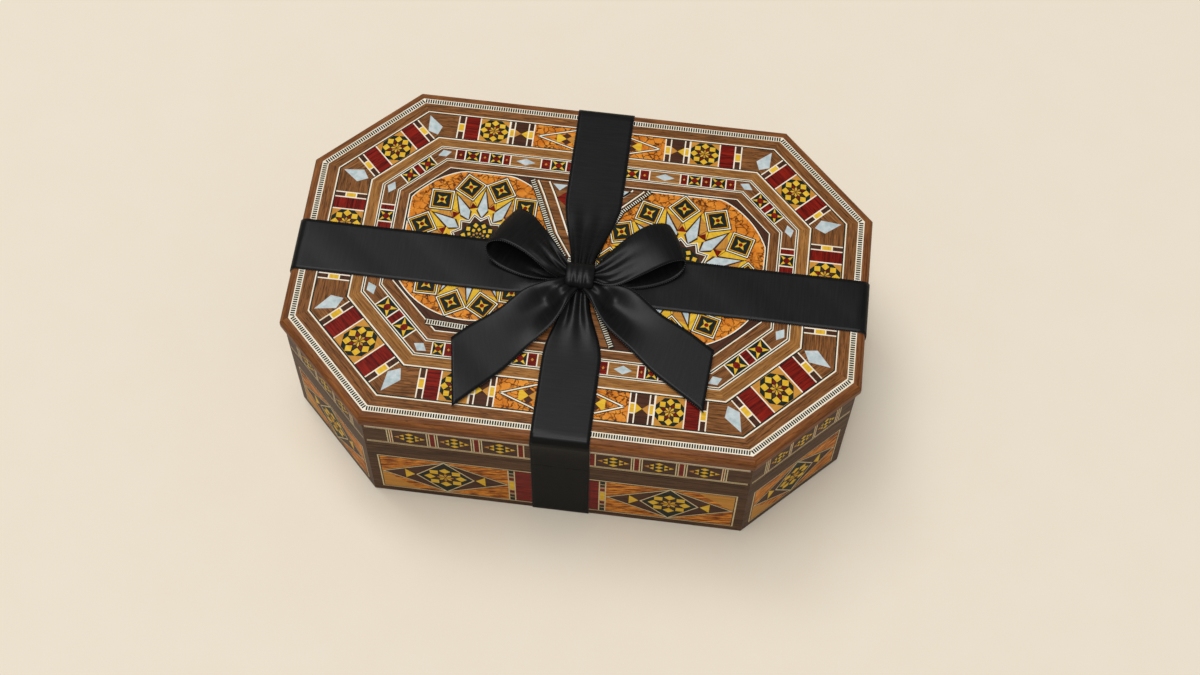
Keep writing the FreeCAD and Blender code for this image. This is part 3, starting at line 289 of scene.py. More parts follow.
@dataclass(frozen=True)
class Side:
    """One of the eight sides: its name, its kind, the way that it faces and how deep its bands run."""

    name: str
    kind: str
    degrees: float
    depth_share: float

    @property
    def out(self) -> Vector:
        """The unit way that the side faces."""
        turn = math.radians(self.degrees)
        return Vector((math.cos(turn), math.sin(turn), 0))

    def middle(self, outline: Outline) -> Vector:
        """The middle of the side on an outline."""
        long, wide, half_cut = outline.half_length, outline.half_width, outline.cut / 2
        places = {"long": (0, wide), "short": (long, 0), "corner": (long - half_cut, wide - half_cut)}
        along, across = places[self.kind]
        return Vector((math.copysign(along, self.out.x), math.copysign(across, self.out.y), 0))

    def half(self, outline: Outline) -> float:
        """Half the side's length on an outline."""
        return {"long": outline.half_length - outline.cut, "short": outline.half_width - outline.cut,
                "corner": outline.cut / math.sqrt(2)}[self.kind]

    def top_face(self) -> Face:
        """The side's face on the lid's top: u along the side, v inwards in nominal band widths."""
        return Face(self.middle(MOSAIC) + UP * LID_TOP, UP.cross(self.out), self.out * -self.depth_share)

    def wall_face(self, height: float) -> Face:
        """The side's face on the walls: u along the wall, v up from a height."""
        return Face(self.middle(WALLS) + UP * height, UP.cross(self.out), UP)

    def top_end(self, sign: int, depth: float) -> float:
        """Where the side ends on the lid's top at a nominal depth: on the mitre with its neighbour."""
        beside = SIDES[(SIDES.index(self) + sign) % len(SIDES)]
        mitre = math.sqrt(2) * beside.depth_share - self.depth_share
        return sign * (self.half(MOSAIC) - depth * mitre)

    def top_stretch(self, depth: float) -> Point:
        """The middle of the side on the lid's top at a nominal depth, and half its length there."""
        start, end = self.top_end(-1, depth), self.top_end(1, depth)
        return (start + end) / 2, (end - start) / 2


FRONT_SHARE = 1.02
FRONT_CORNER_SHARE = 1.14
BACK_CORNER_SHARE = 0.925
BACK_SHARE = 0.87
SIDES = [Side("front", "long", -90, FRONT_SHARE), Side("front_right", "corner", -45, FRONT_CORNER_SHARE),
         Side("right", "short", 0, FRONT_SHARE), Side("back_right", "corner", 45, BACK_CORNER_SHARE),
         Side("back", "long", 90, BACK_SHARE), Side("back_left", "corner", 135, BACK_CORNER_SHARE),
         Side("left", "short", 180, FRONT_SHARE), Side("front_left", "corner", -135, FRONT_CORNER_SHARE)]
TOP = Face(UP * LID_TOP, Vector((1, 0, 0)), Vector((0, 1, 0)))


# Finishes

# How finely streaks, figure and pores run along, across and up a wood's grain
STREAK_SHARES = (0.06, 1, 1)
FIGURE_SHARES = (0.02, 0.22, 0.22)
PORE_SHARES = (0.28, 3.2, 3.2)


@cache
def way_group() -> NodeTree:
    """The way along the nearest of the eight sides, so that grain runs along every banding and wall."""
    tree, _, out = node_group("ShaderNodeTree", "grain_way", {}, {"Way": "NodeSocketVector"})
    place = tree.place()
    split = tree.add("ShaderNodeSeparateXYZ", {0: place}).outputs
    x, y, z = split[0], split[1], split[2]
    far_x = tree.math("ABSOLUTE", x)
    far_y = tree.math("ABSOLUTE", y)
    slant = math.sqrt(0.5)
    corner = (MOSAIC.half_length + MOSAIC.half_width - MOSAIC.cut) * slant

    def depth(reach: float, distance: Socket, share: float) -> Socket:
        """How deep a point lies behind a side, in nominal band widths."""
        return tree.math("DIVIDE", tree.math("SUBTRACT", reach, distance), share)

    def mixed(first: object, second: object, operation: str) -> Socket:
        """Two lengths joined on the slant."""
        return tree.math("MULTIPLY", tree.math(operation, first, second), slant)

    long_depth = tree.math("MINIMUM", depth(MOSAIC.half_width, y, BACK_SHARE),
                           depth(MOSAIC.half_width, tree.math("MULTIPLY", y, -1.0), FRONT_SHARE))
    short_depth = depth(MOSAIC.half_length, far_x, FRONT_SHARE)
    corner_depth = tree.math("MINIMUM", depth(corner, mixed(far_x, y, "ADD"), BACK_CORNER_SHARE),
                             depth(corner, mixed(far_x, y, "SUBTRACT"), FRONT_CORNER_SHARE))
    is_short = tree.math("LESS_THAN", short_depth, long_depth)
    is_corner = tree.math("LESS_THAN", corner_depth, tree.math("MINIMUM", short_depth, long_depth))
    along = tree.choose(is_corner, tree.choose(is_short, x, y), mixed(far_x, far_y, "SUBTRACT"))
    across = tree.choose(is_corner, tree.choose(is_short, y, x), mixed(far_x, far_y, "ADD"))
    way = tree.add("ShaderNodeCombineXYZ", {0: along, 1: across, 2: z}).outputs[0]
    tree.feed(out.inputs[0], way)
    return tree.tree


@cache
def grain_group() -> NodeTree:
    """Streaks and pores of a straight-grained wood, on a vector in millimetres."""
    tree, into, out = node_group(
        "ShaderNodeTree", "wood_grain", {"Way": "NodeSocketVector", "Streak Width": "NodeSocketFloat"},
        {"Streak": "NodeSocketFloat", "Pore": "NodeSocketFloat", "Figure": "NodeSocketFloat"})
    scale = tree.math("DIVIDE", 1.0, into.outputs["Streak Width"])

    def stretched(shares: Sequence[float]) -> Socket:
        """The way with its axes stretched, in streak widths."""
        shaped = tree.scaled(into.outputs["Way"], shares)
        return tree.add("ShaderNodeVectorMath", {0: shaped, "Scale": scale}, operation="SCALE").outputs[0]

    streak = tree.noise(stretched(STREAK_SHARES), 1.0, 5.0, 0.62)
    figure = tree.noise(stretched(FIGURE_SHARES), 1.0, 2.0)
    pore = tree.noise(tree.scaled(into.outputs["Way"], PORE_SHARES), 1.0, 1.0)
    tree.feed(out.inputs["Streak"], tree.between(streak, 0.28, 0.72))
    tree.feed(out.inputs["Figure"], tree.between(figure, 0.3, 0.7))
    tree.feed(out.inputs["Pore"], tree.between(pore, 0.58, 0.72))
    return tree.tree


@dataclass(frozen=True)
class Finish:
    """What all finishes share. Each kind has its roughness, its coat of lacquer and its own nodes."""

    name: str

    def paint(self, tree: Tree, shader: Node) -> None:
        """Joins the finish's nodes to its shader."""
        raise NotImplementedError

    def build(self) -> Material:
        """Makes the material."""
        material = bpy.data.materials.new(self.name)
        material.use_nodes = True
        shader = material.node_tree.nodes["Principled BSDF"]
        for label, value in (("Roughness", self.roughness), ("Specular IOR Level", 0.05),
                             ("Coat Weight", self.coat), ("Coat Roughness", 0.3)):
            shader.inputs[label].default_value = value
        self.paint(Tree(material.node_tree), shader)
        return material

    @staticmethod
    def bump(tree: Tree, shader: Node, height: object, depth: float, strength: float) -> None:
        """Gives the shader a bump of a depth in millimetres."""
        made = tree.add("ShaderNodeBump", {"Height": height, "Strength": strength, "Distance": depth * MM})
        tree.feed(shader.inputs["Normal"], made.outputs[0])


@dataclass(frozen=True)
class GrainFinish(Finish):
    """A straight-grained wood: streaks between two tones, a slow figure and short dark pores."""

    dark: Colour
    light: Colour
    streak_width: float = 1.3
    pores: float = 0.5
    figure: float = 0.35
    roughness: float = 0.42
    coat: float = 0.03
    slant: float = 0.0
    hard: float = 0.0
    deep_share: float = 0.62
    pore_depth: float = 0.03

    def paint(self, tree: Tree, shader: Node) -> None:
        """Joins the finish's nodes to its shader."""
        way = tree.add("ShaderNodeGroup", node_tree=way_group()).outputs[0]
        grain = tree.add("ShaderNodeGroup", node_tree=grain_group())
        slanted = tree.add("ShaderNodeVectorRotate", {"Vector": way, "Axis": (0, 1, 1), "Angle": self.slant})
        tree.feed(grain.inputs["Way"], slanted.outputs[0])
        grain.inputs["Streak Width"].default_value = self.streak_width
        streak = tree.between(grain.outputs["Streak"], self.hard / 2, 1 - self.hard / 2)
        tone = tree.mix(streak, self.dark, self.light)
        deep = tuple(channel * self.deep_share for channel in self.dark[:3]) + (1.0,)
        figured = tree.mix(tree.math("MULTIPLY", grain.outputs["Figure"], self.figure), tone, deep)
        pored = tree.mix(tree.math("MULTIPLY", grain.outputs["Pore"], self.pores), figured, deep)
        tree.feed(shader.inputs["Base Color"], pored)
        rough = tree.between(grain.outputs["Streak"], 0.0, 1.0, self.roughness + 0.06, self.roughness - 0.04)
        tree.feed(shader.inputs["Roughness"], rough)
        self.bump(tree, shader, tree.math("MULTIPLY", grain.outputs["Pore"], -1.0), self.pore_depth, 0.35)


@dataclass(frozen=True)
class BurlFinish(Finish):
    """Burl veneer: clouded orange with a net of dark veins."""

    dark: Colour
    light: Colour
    vein: Colour
    cell: float = 3.6
    fine_share: float = 2.6
    wander: float = 4.0
    wander_scale: float = 0.35
    gap_scale: float = 0.22
    cloud_scale: float = 0.16
    vein_depth: float = 0.04
    roughness: float = 0.38
    coat: float = 0.03

    def paint(self, tree: Tree, shader: Node) -> None:
        """Joins the finish's nodes to its shader."""
        place = tree.place()
        stray = tree.add("ShaderNodeTexNoise", {"Vector": place, "Scale": self.wander_scale, "Detail": 3.0})
        moved = tree.add("ShaderNodeVectorMath", {0: stray.outputs[1], 1: (self.wander,) * 3, 2: place},
                         operation="MULTIPLY_ADD").outputs[0]

        def edges(share: float) -> Socket:
            """How far a point lies from the edge of its cell."""
            return tree.add("ShaderNodeTexVoronoi", {"Vector": moved, "Scale": share / self.cell},
                            feature="DISTANCE_TO_EDGE").outputs[0]

        broken = tree.between(tree.noise(place, self.gap_scale, 2.0), 0.28, 0.5)
        vein = tree.math("MULTIPLY", tree.between(edges(1), 0.02, 0.1, 1.0, 0.0), broken)
        hair = tree.math("MULTIPLY", tree.between(edges(self.fine_share), 0.01, 0.06, 0.35, 0.0), broken)
        cloud = tree.between(tree.noise(moved, self.cloud_scale, 5.0, 0.6), 0.32, 0.68)
        tone = tree.mix(cloud, self.dark, self.light)
        veined = tree.mix(tree.math("MAXIMUM", vein, hair), tone, self.vein)
        tree.feed(shader.inputs["Base Color"], veined)
        self.bump(tree, shader, tree.math("MULTIPLY", vein, -1.0), self.vein_depth, 0.3)


@dataclass(frozen=True)
class PearlFinish(Finish):
    """Mother-of-pearl: pale, with soft patches of blue, rose and green, and fine growth lines."""

    blue: Colour = linear(162, 178, 182)
    pale: Colour = linear(197, 207, 208)
    rose: Colour = linear(203, 189, 199)
    green: Colour = linear(174, 197, 190)
    patch_scale: float = 0.42
    rose_scale: float = 0.8
    line_shares: tuple[float, ...] = (0.8, 3.4, 0.8)
    line_depth: float = 0.02
    roughness: float = 0.26
    coat: float = 0.15

    def paint(self, tree: Tree, shader: Node) -> None:
        """Joins the finish's nodes to its shader."""
        place = tree.place()
        patch = tree.between(tree.noise(place, self.patch_scale, 2.0), 0.35, 0.65)
        blush = tree.between(tree.noise(place, self.rose_scale, 2.0), 0.5, 0.68)
        lines = tree.noise(tree.scaled(place, self.line_shares), 1.0, 3.0)
        tone = tree.mix(patch, self.blue, self.pale)
        tinted = tree.mix(tree.math("MULTIPLY", blush, 0.5), tone, self.rose)
        lined = tree.mix(tree.between(lines, 0.45, 0.62, 0.0, 0.35), tinted, self.green)
        tree.feed(shader.inputs["Base Color"], lined)
        self.bump(tree, shader, lines, self.line_depth, 0.2)


@dataclass(frozen=True)
class BoneFinish(Finish):
    """Polished bone: off-white with faint yellowing and short dark flecks."""

    light: Colour
    aged: Colour
    fleck: Colour = linear(150, 125, 90)
    patch_scale: float = 0.12
    fleck_scale: float = 2.4
    dent_scale: float = 1.2
    dent_depth: float = 0.02
    roughness: float = 0.4
    coat: float = 0.06

    def paint(self, tree: Tree, shader: Node) -> None:
        """Joins the finish's nodes to its shader."""
        place = tree.place()
        patch = tree.between(tree.noise(place, self.patch_scale, 3.0), 0.35, 0.7)
        flecked = tree.between(tree.noise(place, self.fleck_scale, 1.0), 0.64, 0.74, 0.0, 0.35)
        tone = tree.mix(patch, self.light, self.aged)
        tree.feed(shader.inputs["Base Color"], tree.mix(flecked, tone, self.fleck))
        self.bump(tree, shader, tree.noise(place, self.dent_scale, 2.0), self.dent_depth, 0.2)


@dataclass(frozen=True)
class BrassFinish(Finish):
    """Satin brass: brushed along the knuckles, a little darker in patches."""

    light: Colour = linear(205, 165, 85)
    dark: Colour = linear(158, 118, 55)
    patch_scale: float = 0.25
    brush_shares: tuple[float, ...] = (0.3, 9.0, 9.0)
    brush_depth: float = 0.01
    roughness: float = 0.26
    coat: float = 0.0
    roughest: float = 0.42

    def paint(self, tree: Tree, shader: Node) -> None:
        """Joins the finish's nodes to its shader."""
        shader.inputs["Metallic"].default_value = 1.0
        place = tree.place()
        patch = tree.between(tree.noise(place, self.patch_scale, 3.0), 0.35, 0.7)
        brush = tree.noise(tree.scaled(place, self.brush_shares), 1.0, 2.0)
        tree.feed(shader.inputs["Base Color"], tree.mix(patch, self.light, self.dark))
        tree.feed(shader.inputs["Roughness"], tree.between(brush, 0.3, 0.7, self.roughness, self.roughest))
        self.bump(tree, shader, brush, self.brush_depth, 0.3)


@dataclass(frozen=True)
class VelvetFinish(Finish):
    """Short red pile: a soft sheen, and patches where the pile lies another way."""

    dark: Colour = linear(106, 19, 25)
    light: Colour = linear(120, 23, 29)
    sheen: Colour = linear(205, 90, 95)
    sheen_weight: float = 0.7
    sheen_roughness: float = 0.35
    patch_scale: float = 0.04
    pile_scale: float = 3.0
    pile_depth: float = 0.12
    roughness: float = 0.9
    coat: float = 0.0

    def paint(self, tree: Tree, shader: Node) -> None:
        """Joins the finish's nodes to its shader."""
        shader.inputs["Sheen Weight"].default_value = self.sheen_weight
        shader.inputs["Sheen Roughness"].default_value = self.sheen_roughness
        shader.inputs["Sheen Tint"].default_value = self.sheen
        place = tree.place()
        patch = tree.between(tree.noise(place, self.patch_scale, 3.0), 0.38, 0.64)
        tree.feed(shader.inputs["Base Color"], tree.mix(patch, self.dark, self.light))
        self.bump(tree, shader, tree.noise(place, self.pile_scale, 2.0), self.pile_depth, 0.6)


@dataclass(frozen=True)
class SatinFinish(Finish):
    """Black satin ribbon: weft lines across, a softer warp, uneven tone, and a sheen where it lies flat."""

    base: Colour
    light: Colour
    weft_pitch: float = 0.42
    warp_pitch: float = 0.55
    weft_share: float = 0.7
    slub_shares: tuple[float, ...] = (0.08, 1.4, 1.0)
    weave_depth: float = 0.03
    sheen: float = 0.28
    roughness: float = 0.34
    coat: float = 0.0

    def paint(self, tree: Tree, shader: Node) -> None:
        """Joins the finish's nodes to its shader."""
        shader.inputs["Specular IOR Level"].default_value = 0.02
        shader.inputs["Coat Roughness"].default_value = self.roughness
        normal = tree.add("ShaderNodeTexCoord").outputs["Normal"]
        facing_up = tree.add("ShaderNodeSeparateXYZ", {0: normal}).outputs[2]
        tree.feed(shader.inputs["Coat Weight"], tree.between(facing_up, 0.2, 0.8, 0.0, self.sheen))
        place = tree.scaled(tree.add("ShaderNodeUVMap", uv_map="UVMap").outputs[0], (1 / MM,) * 3)
        across, along, _ = tree.add("ShaderNodeSeparateXYZ", {0: place}).outputs

        def threads(distance: Socket, pitch: float, share: float) -> Socket:
            """Threads side by side, as waves."""
            wave = tree.math("SINE", tree.math("MULTIPLY", distance, 2 * math.pi / pitch))
            return tree.math("MULTIPLY", wave, share)

        weave = tree.math("ADD", threads(along, self.weft_pitch, self.weft_share),
                          threads(across, self.warp_pitch, 1 - self.weft_share))
        slub = tree.noise(tree.scaled(place, self.slub_shares), 1.0, 3.0)
        tone = tree.mix(tree.between(slub, 0.35, 0.68), self.base, self.light)
        tree.feed(shader.inputs["Base Color"], tone)
        rough = tree.between(slub, 0.3, 0.7, self.roughness - 0.04, self.roughness + 0.05)
        tree.feed(shader.inputs["Roughness"], rough)
        self.bump(tree, shader, weave, self.weave_depth, 0.35)


WOODS = {
    Wood.WALNUT: GrainFinish("walnut", linear(70, 41, 20), linear(164, 108, 60), 0.7, 0.9, hard=0.2),
    Wood.DARK_WALNUT: GrainFinish("dark_walnut", linear(54, 31, 21), linear(90, 55, 38), 1.1),
    Wood.LIGHT_WALNUT: GrainFinish("light_walnut", linear(110, 69, 33), linear(186, 131, 69), 0.7, 0.85,
                                   hard=0.2),
    Wood.RED_WALNUT: GrainFinish("red_walnut", linear(82, 44, 22), linear(160, 102, 57), 1.0, 0.7),
    Wood.BROWN_WALNUT: GrainFinish("brown_walnut", linear(44, 28, 18), linear(112, 77, 49), 0.9, 0.75),
    Wood.BURL: BurlFinish("burl", linear(198, 110, 26), linear(230, 150, 54), linear(84, 38, 10)),
    Wood.APRICOT: GrainFinish("apricot", linear(112, 46, 6), linear(232, 146, 44), 1.6, 0.5, 0.1, slant=0.32,
                              hard=0.45),
    Wood.HONEY: GrainFinish("honey", linear(176, 116, 42), linear(208, 150, 66), 0.9, 0.15, 0.2),
    Wood.PADAUK: GrainFinish("padauk", linear(66, 7, 5), linear(150, 33, 17), 0.8, 0.7, 0.3, hard=0.2),
    Wood.EBONY: GrainFinish("ebony", linear(18, 26, 22), linear(34, 44, 38), 0.9, 0.2, 0.2),
    Wood.LEMONWOOD: GrainFinish("lemonwood", linear(208, 158, 26), linear(236, 196, 66), 0.9, 0.12, 0.2),
    Wood.MAPLE: GrainFinish("maple", linear(196, 172, 126), linear(236, 216, 172), 0.8, 0.2, 0.3),
    Wood.BONE: BoneFinish("bone", linear(240, 232, 214), linear(226, 212, 184)),
    Wood.PEARL: PearlFinish("pearl"),
}
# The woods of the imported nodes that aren't plain walnut
NODE_WOODS = {
    Wood.BONE: ("top_ladder_stringing", "top_bone_lines", "top_medallion_frames"),
    Wood.MAPLE: ("base_panel_lines", "rim_light_lines"),
    Wood.PEARL: ("top_pearl_kites",),
    Wood.LEMONWOOD: ("top_lemonwood_tesserae", "base_panel_lemonwood"),
    Wood.PADAUK: ("top_padauk_bars", "base_panel_padauk", "rim_padauk_spacers"),
    Wood.EBONY: ("top_ebony_grounds", "base_panel_ebony", "base_panel_strips"),
    Wood.BURL: ("top_burl_grounds",),
    Wood.APRICOT: ("base_panel_burl",),
    Wood.LIGHT_WALNUT: ("top_light_banding",),
    Wood.RED_WALNUT: ("lid_moulding",),
    Wood.BROWN_WALNUT: ("rim_walnut_blocks",),
    Wood.DARK_WALNUT: ("top_block_strips", "rim_diamond_tiles", "top_walnut_field", "base_panel_walnut"),
}


@dataclass
class Finishes:
    """Every material of the box, made once."""

    woods: dict[Wood, Material] = field(default_factory=dict)
    brass: Material | None = None
    velvet: Material | None = None
    satin: Material | None = None
    selvedge_painted_highlight: Material | None = None

    def build(self) -> Finishes:
        """Makes the materials and returns itself."""
        self.woods = {wood: finish.build() for wood, finish in WOODS.items()}
        self.brass = BrassFinish("brass").build()
        self.velvet = VelvetFinish("velvet").build()
        self.satin = SatinFinish("satin", linear(14, 14, 14), linear(22, 22, 22)).build()
        # The edge beads get a lighter grey than the ribbon: painted highlight for the light that the
        # stitched edges catch.
        self.selvedge_painted_highlight = SatinFinish("selvedge_painted_highlight", linear(40, 40, 40), linear(78, 78, 80)).build()
        return self

    def dress_nodes(self, nodes: dict[str, Piece]) -> None:
        """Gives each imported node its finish.

        Args:
            nodes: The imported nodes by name.
        """
        wood_of = {name: wood for wood, names in NODE_WOODS.items() for name in names}
        for name, thing in nodes.items():
            if "lining" in name:
                material = self.velvet
            elif name.startswith("hinge"):
                material = self.brass
            elif name.startswith(("bow", "ribbon")):
                material = self.satin
            elif name.endswith(("_rim", "_wall")):
                material = self.woods[Wood.BROWN_WALNUT]
            else:
                material = self.woods[wood_of.get(name, Wood.WALNUT)]
            if not thing.material_slots:
                thing.data.materials.append(material)
            for place in thing.material_slots:
                place.material = material


# Outlines of tiles

def rectangle(u_from: float, u_to: float, v_from: float, v_to: float) -> list[Point]:
    """Four corners, anticlockwise."""
    return [(u_from, v_from), (u_to, v_from), (u_to, v_to), (u_from, v_to)]


def diamond(u: float, v: float, half_along: float, half_across: float) -> list[Point]:
    """A diamond with its points along and across."""
    return [(u - half_along, v), (u, v - half_across), (u + half_along, v), (u, v + half_across)]


def polar(middle: Point, radius: float, angle: float) -> Point:
    """A point at an angle round a middle."""
    return middle[0] + radius * math.cos(angle), middle[1] + radius * math.sin(angle)


def star(middle: Point, radii: Sequence[float], count: int, turn: float = 0.0) -> list[Point]:
    """A star outline that takes its radii in turn.

    Args:
        middle: The star's middle.
        radii: Radii of one ray's points, evenly spread over the ray.
        count: How many rays.
        turn: The first ray's angle.

    Returns:
        The outline's points, anticlockwise.
    """
    total = count * len(radii)
    return [polar(middle, radii[index % len(radii)], turn + 2 * math.pi * index / total)
            for index in range(total)]


def kite(middle: Point, angle: float, tip: float, widest: float, foot: float, half: float) -> list[Point]:
    """A kite that points away from a middle: tip, one side, foot and the other side."""
    centre = polar(middle, widest, angle)
    sides = [polar(centre, half, angle + sign * math.pi / 2) for sign in (1, -1)]
    return [polar(middle, tip, angle), sides[0], polar(middle, foot, angle), sides[1]]


def inset(points: Sequence[Point], step: float) -> list[Point]:
    """A closed outline moved inwards by a step, with mitred corners."""
    area = sum(a[0] * b[1] - b[0] * a[1] for a, b in zip(points, [*points[1:], points[0]]))
    turn = 1 if area > 0 else -1
    moved = []
    for index, (u, v) in enumerate(points):
        before, after = points[index - 1], points[(index + 1) % len(points)]
        first = Vector((u - before[0], v - before[1])).normalized()
        second = Vector((after[0] - u, after[1] - v)).normalized()
        normals = [Vector((-way.y, way.x)) * turn for way in (first, second)]
        middle = normals[0] + normals[1]
        reach = step * 2 / max(middle.length_squared, 0.25)
        moved.append((u + middle.x * reach, v + middle.y * reach))
    return moved


@dataclass
class Inlay:
    """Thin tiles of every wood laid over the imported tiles, each layer a hair above the last."""

    name: str
    body: str
    tiles: dict[Wood, list[tuple[list[Vector], Vector, int]]] = field(
        default_factory=lambda: defaultdict(list))

    def lay(self, wood: Wood, face: Face, outline: Iterable[Point], layer: int = 1) -> None:
        """Lays one tile from its corners on a face."""
        self.tiles[wood].append(([face.at(*point) for point in outline], face.out, layer))

    def line(self, wood: Wood, face: Face, start: Point, end: Point, width: float, layer: int = 1) -> None:
        """Lays a straight line from point to point."""
        way = Vector((end[0] - start[0], end[1] - start[1])).normalized() * (width / 2)
        corners = [(start[0] + way.y, start[1] - way.x), (end[0] + way.y, end[1] - way.x),
                   (end[0] - way.y, end[1] + way.x), (start[0] - way.y, start[1] + way.x)]
        self.lay(wood, face, corners, layer)

    def ring(self, wood: Wood, face: Face, outer: Sequence[Point], inner: Sequence[Point],
             layer: int = 1) -> None:
        """Lays the space between two outlines with as many corners."""
        for index in range(len(outer)):
            after = (index + 1) % len(outer)
            self.lay(wood, face, [outer[index], outer[after], inner[after], inner[index]], layer)

    def border(self, wood: Wood, face: Face, outline: Sequence[Point], start: float, end: float,
               layer: int = 1) -> None:
        """Lays a line along the inside of an outline, from one inset to another."""
        self.ring(wood, face, inset(outline, start), inset(outline, end), layer)

    def build(self, finishes: Finishes) -> list[Piece]:
        """Makes one piece of each wood.

        Args:
            finishes: The materials.

        Returns:
            The pieces.
        """
        made = []
        for wood, tiles in self.tiles.items():
            points, faces = [], []
            for corners, out, layer in tiles:
                normal = sum(((corners[i] - corners[0]).cross(corners[i + 1] - corners[0])
                              for i in range(1, len(corners) - 1)), Vector())
                if normal.dot(out) < 0:
                    corners = corners[::-1]
                first, count = len(points), len(corners)
                points += [(corner + out * LAYER * layer) * MM for corner in corners]
                points += [(corner - out * LAYER / 2) * MM for corner in corners]
                faces.append(list(range(first, first + count)))
                faces.append(list(range(first + 2 * count - 1, first + count - 1, -1)))
                for index in range(count):
                    start, end = first + index, first + (index + 1) % count
                    faces.append([end, start, start + count, end + count])
            piece = add_piece(f"{self.name}_{wood.value}", points, faces, finishes.woods[wood])
            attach(piece, self.body)
            made.append(piece)
        return made


def add_object(name: str, data: bpy.types.ID) -> Piece:
    """A new object at the origin of the scene."""
    made = bpy.data.objects.new(name, data)
    bpy.context.scene.collection.objects.link(made)
    return made


def add_piece(name: str, points: Sequence[Vector], faces: Sequence[Sequence[int]],
              material: Material) -> Piece:
    """A mesh piece at the origin.

    Args:
        name: The piece's name.
        points: Its points in metres.
        faces: Its faces as point numbers.
        material: Its finish.

    Returns:
        The piece.
    """
    mesh = bpy.data.meshes.new(name)
    mesh.from_pydata([tuple(point) for point in points], [], [list(face) for face in faces])
    mesh.materials.append(material)
    mesh.update()
    LOG.info("%s: %d faces", name, len(mesh.polygons))
    return add_object(name, mesh)


# Rows along a path

@cache
def row_tree(shape: RowShape) -> NodeTree:
    """A Geometry Nodes tree that sets small shapes in a row along the edges of a mesh.

    Args:
        shape: What the row is made of.

    Returns:
        The tree, with the inputs Pitch, Size and Finish.
    """
    tree, into, out = node_group(
        "GeometryNodeTree", f"row_of_{shape.value}s",
        {"Path": "NodeSocketGeometry", "Pitch": "NodeSocketFloat", "Size": "NodeSocketVector",
         "Finish": "NodeSocketMaterial"}, {"Row": "NodeSocketGeometry"})
    curve = tree.add("GeometryNodeMeshToCurve", {0: into.outputs["Path"]}).outputs[0]
    spread = tree.add("GeometryNodeResampleCurve", {"Curve": curve, "Length": into.outputs["Pitch"]},
                      mode="LENGTH")
    if shape is RowShape.BLOCK:
        small = tree.add("GeometryNodeMeshCube", {"Size": (1.0, 1.0, 1.0)})
    else:
        small = tree.add("GeometryNodeMeshIcoSphere", {"Radius": 0.5, "Subdivisions": 1})
    turn = tree.add("FunctionNodeAlignRotationToVector",
                    {"Vector": tree.add("GeometryNodeInputTangent").outputs[0]}, axis="X", pivot_axis="Z")
    placed = tree.add("GeometryNodeInstanceOnPoints",
                      {"Points": spread.outputs[0], "Instance": small.outputs[0],
                       "Rotation": turn.outputs[0], "Scale": into.outputs["Size"]})
    real = tree.add("GeometryNodeRealizeInstances", {0: placed.outputs[0]})
    dressed = tree.add("GeometryNodeSetMaterial",
                       {"Geometry": real.outputs[0], "Material": into.outputs["Finish"]})
    tree.feed(out.inputs[0], dressed.outputs[0])
    return tree.tree


def row_piece(name: str, paths: Sequence[Sequence[Vector]], shape: RowShape, pitch: float,
              size: Sequence[float], material: Material) -> Piece:
    """A row of small shapes along paths, turned into a plain mesh.

    Args:
        name: The piece's name.
        paths: Each path's points in millimetres.
        shape: What the row is made of.
        pitch: How far apart the shapes stand, in millimetres.
        size: Each shape's size along, across and up, in millimetres.
        material: The finish.

    Returns:
        The piece.
    """
    points, edges = [], []
    for path in paths:
        first = len(points)
        points += [tuple(point * MM) for point in path]
        edges += [(index, index + 1) for index in range(first, len(points) - 1)]
    mesh = bpy.data.meshes.new(f"{name}_path")
    mesh.from_pydata(points, edges, [])
    carrier = add_object(mesh.name, mesh)
    modifier = carrier.modifiers.new("row", "NODES")
    modifier.node_group = row_tree(shape)
    values = {"Pitch": pitch * MM, "Size": [length * MM for length in size], "Finish": material}
    for item in modifier.node_group.interface.items_tree:
        if item.in_out == "INPUT" and item.name in values:
            modifier[item.identifier] = values[item.name]
    evaluated = carrier.evaluated_get(bpy.context.evaluated_depsgraph_get())
    plain = bpy.data.meshes.new_from_object(evaluated)
    plain.name = name
    bpy.data.objects.remove(carrier)
    LOG.info("%s: %d faces", name, len(plain.polygons))
    return add_object(name, plain)


# Motifs that several mosaics share

ROSETTE_GROUND_SHARE = 1.06
ROSETTE_RING_SHARE = 0.712
ROSETTE_SQUARE_SHARE = 0.262
# Tip, widest place, foot and half width of the kites between the squares, and of the rays in the middle
ROSETTE_KITE_SHARES = (0.60, 0.47, 0.27, 0.105)
ROSETTE_RAY_SHARES = (0.40, 0.27, 0.03, 0.075)
# The points, the notches and the middle of a star tile's star
STAR_POINT_SHARE = 0.92
STAR_NOTCH_SHARE = 0.40
STAR_MIDDLE_SHARE = 0.54


def rosette(inlay: Inlay, face: Face, middle: Point, radius: float, accent: Wood = Wood.PADAUK) -> None:
    """An eight-fold rosette: a ring of lemonwood squares, kites of an accent and a small star on ebony."""
    count = 8
    step = 2 * math.pi / count
    inlay.lay(Wood.EBONY, face, star(middle, (ROSETTE_GROUND_SHARE * radius,), count, step / 2), 2)
    for index in range(count):
        angle = index * step
        centre = polar(middle, ROSETTE_RING_SHARE * radius, angle)
        inlay.lay(Wood.LEMONWOOD, face, star(centre, (ROSETTE_SQUARE_SHARE * radius,), 4, angle), 3)
        red = kite(middle, angle + step / 2, *(share * radius for share in ROSETTE_KITE_SHARES))
        inlay.lay(accent if index % 2 else Wood.DARK_WALNUT, face, red, 3)
        ray = kite(middle, angle, *(share * radius for share in ROSETTE_RAY_SHARES))
        inlay.lay(Wood.LEMONWOOD if index % 2 else Wood.HONEY, face, ray, 4)


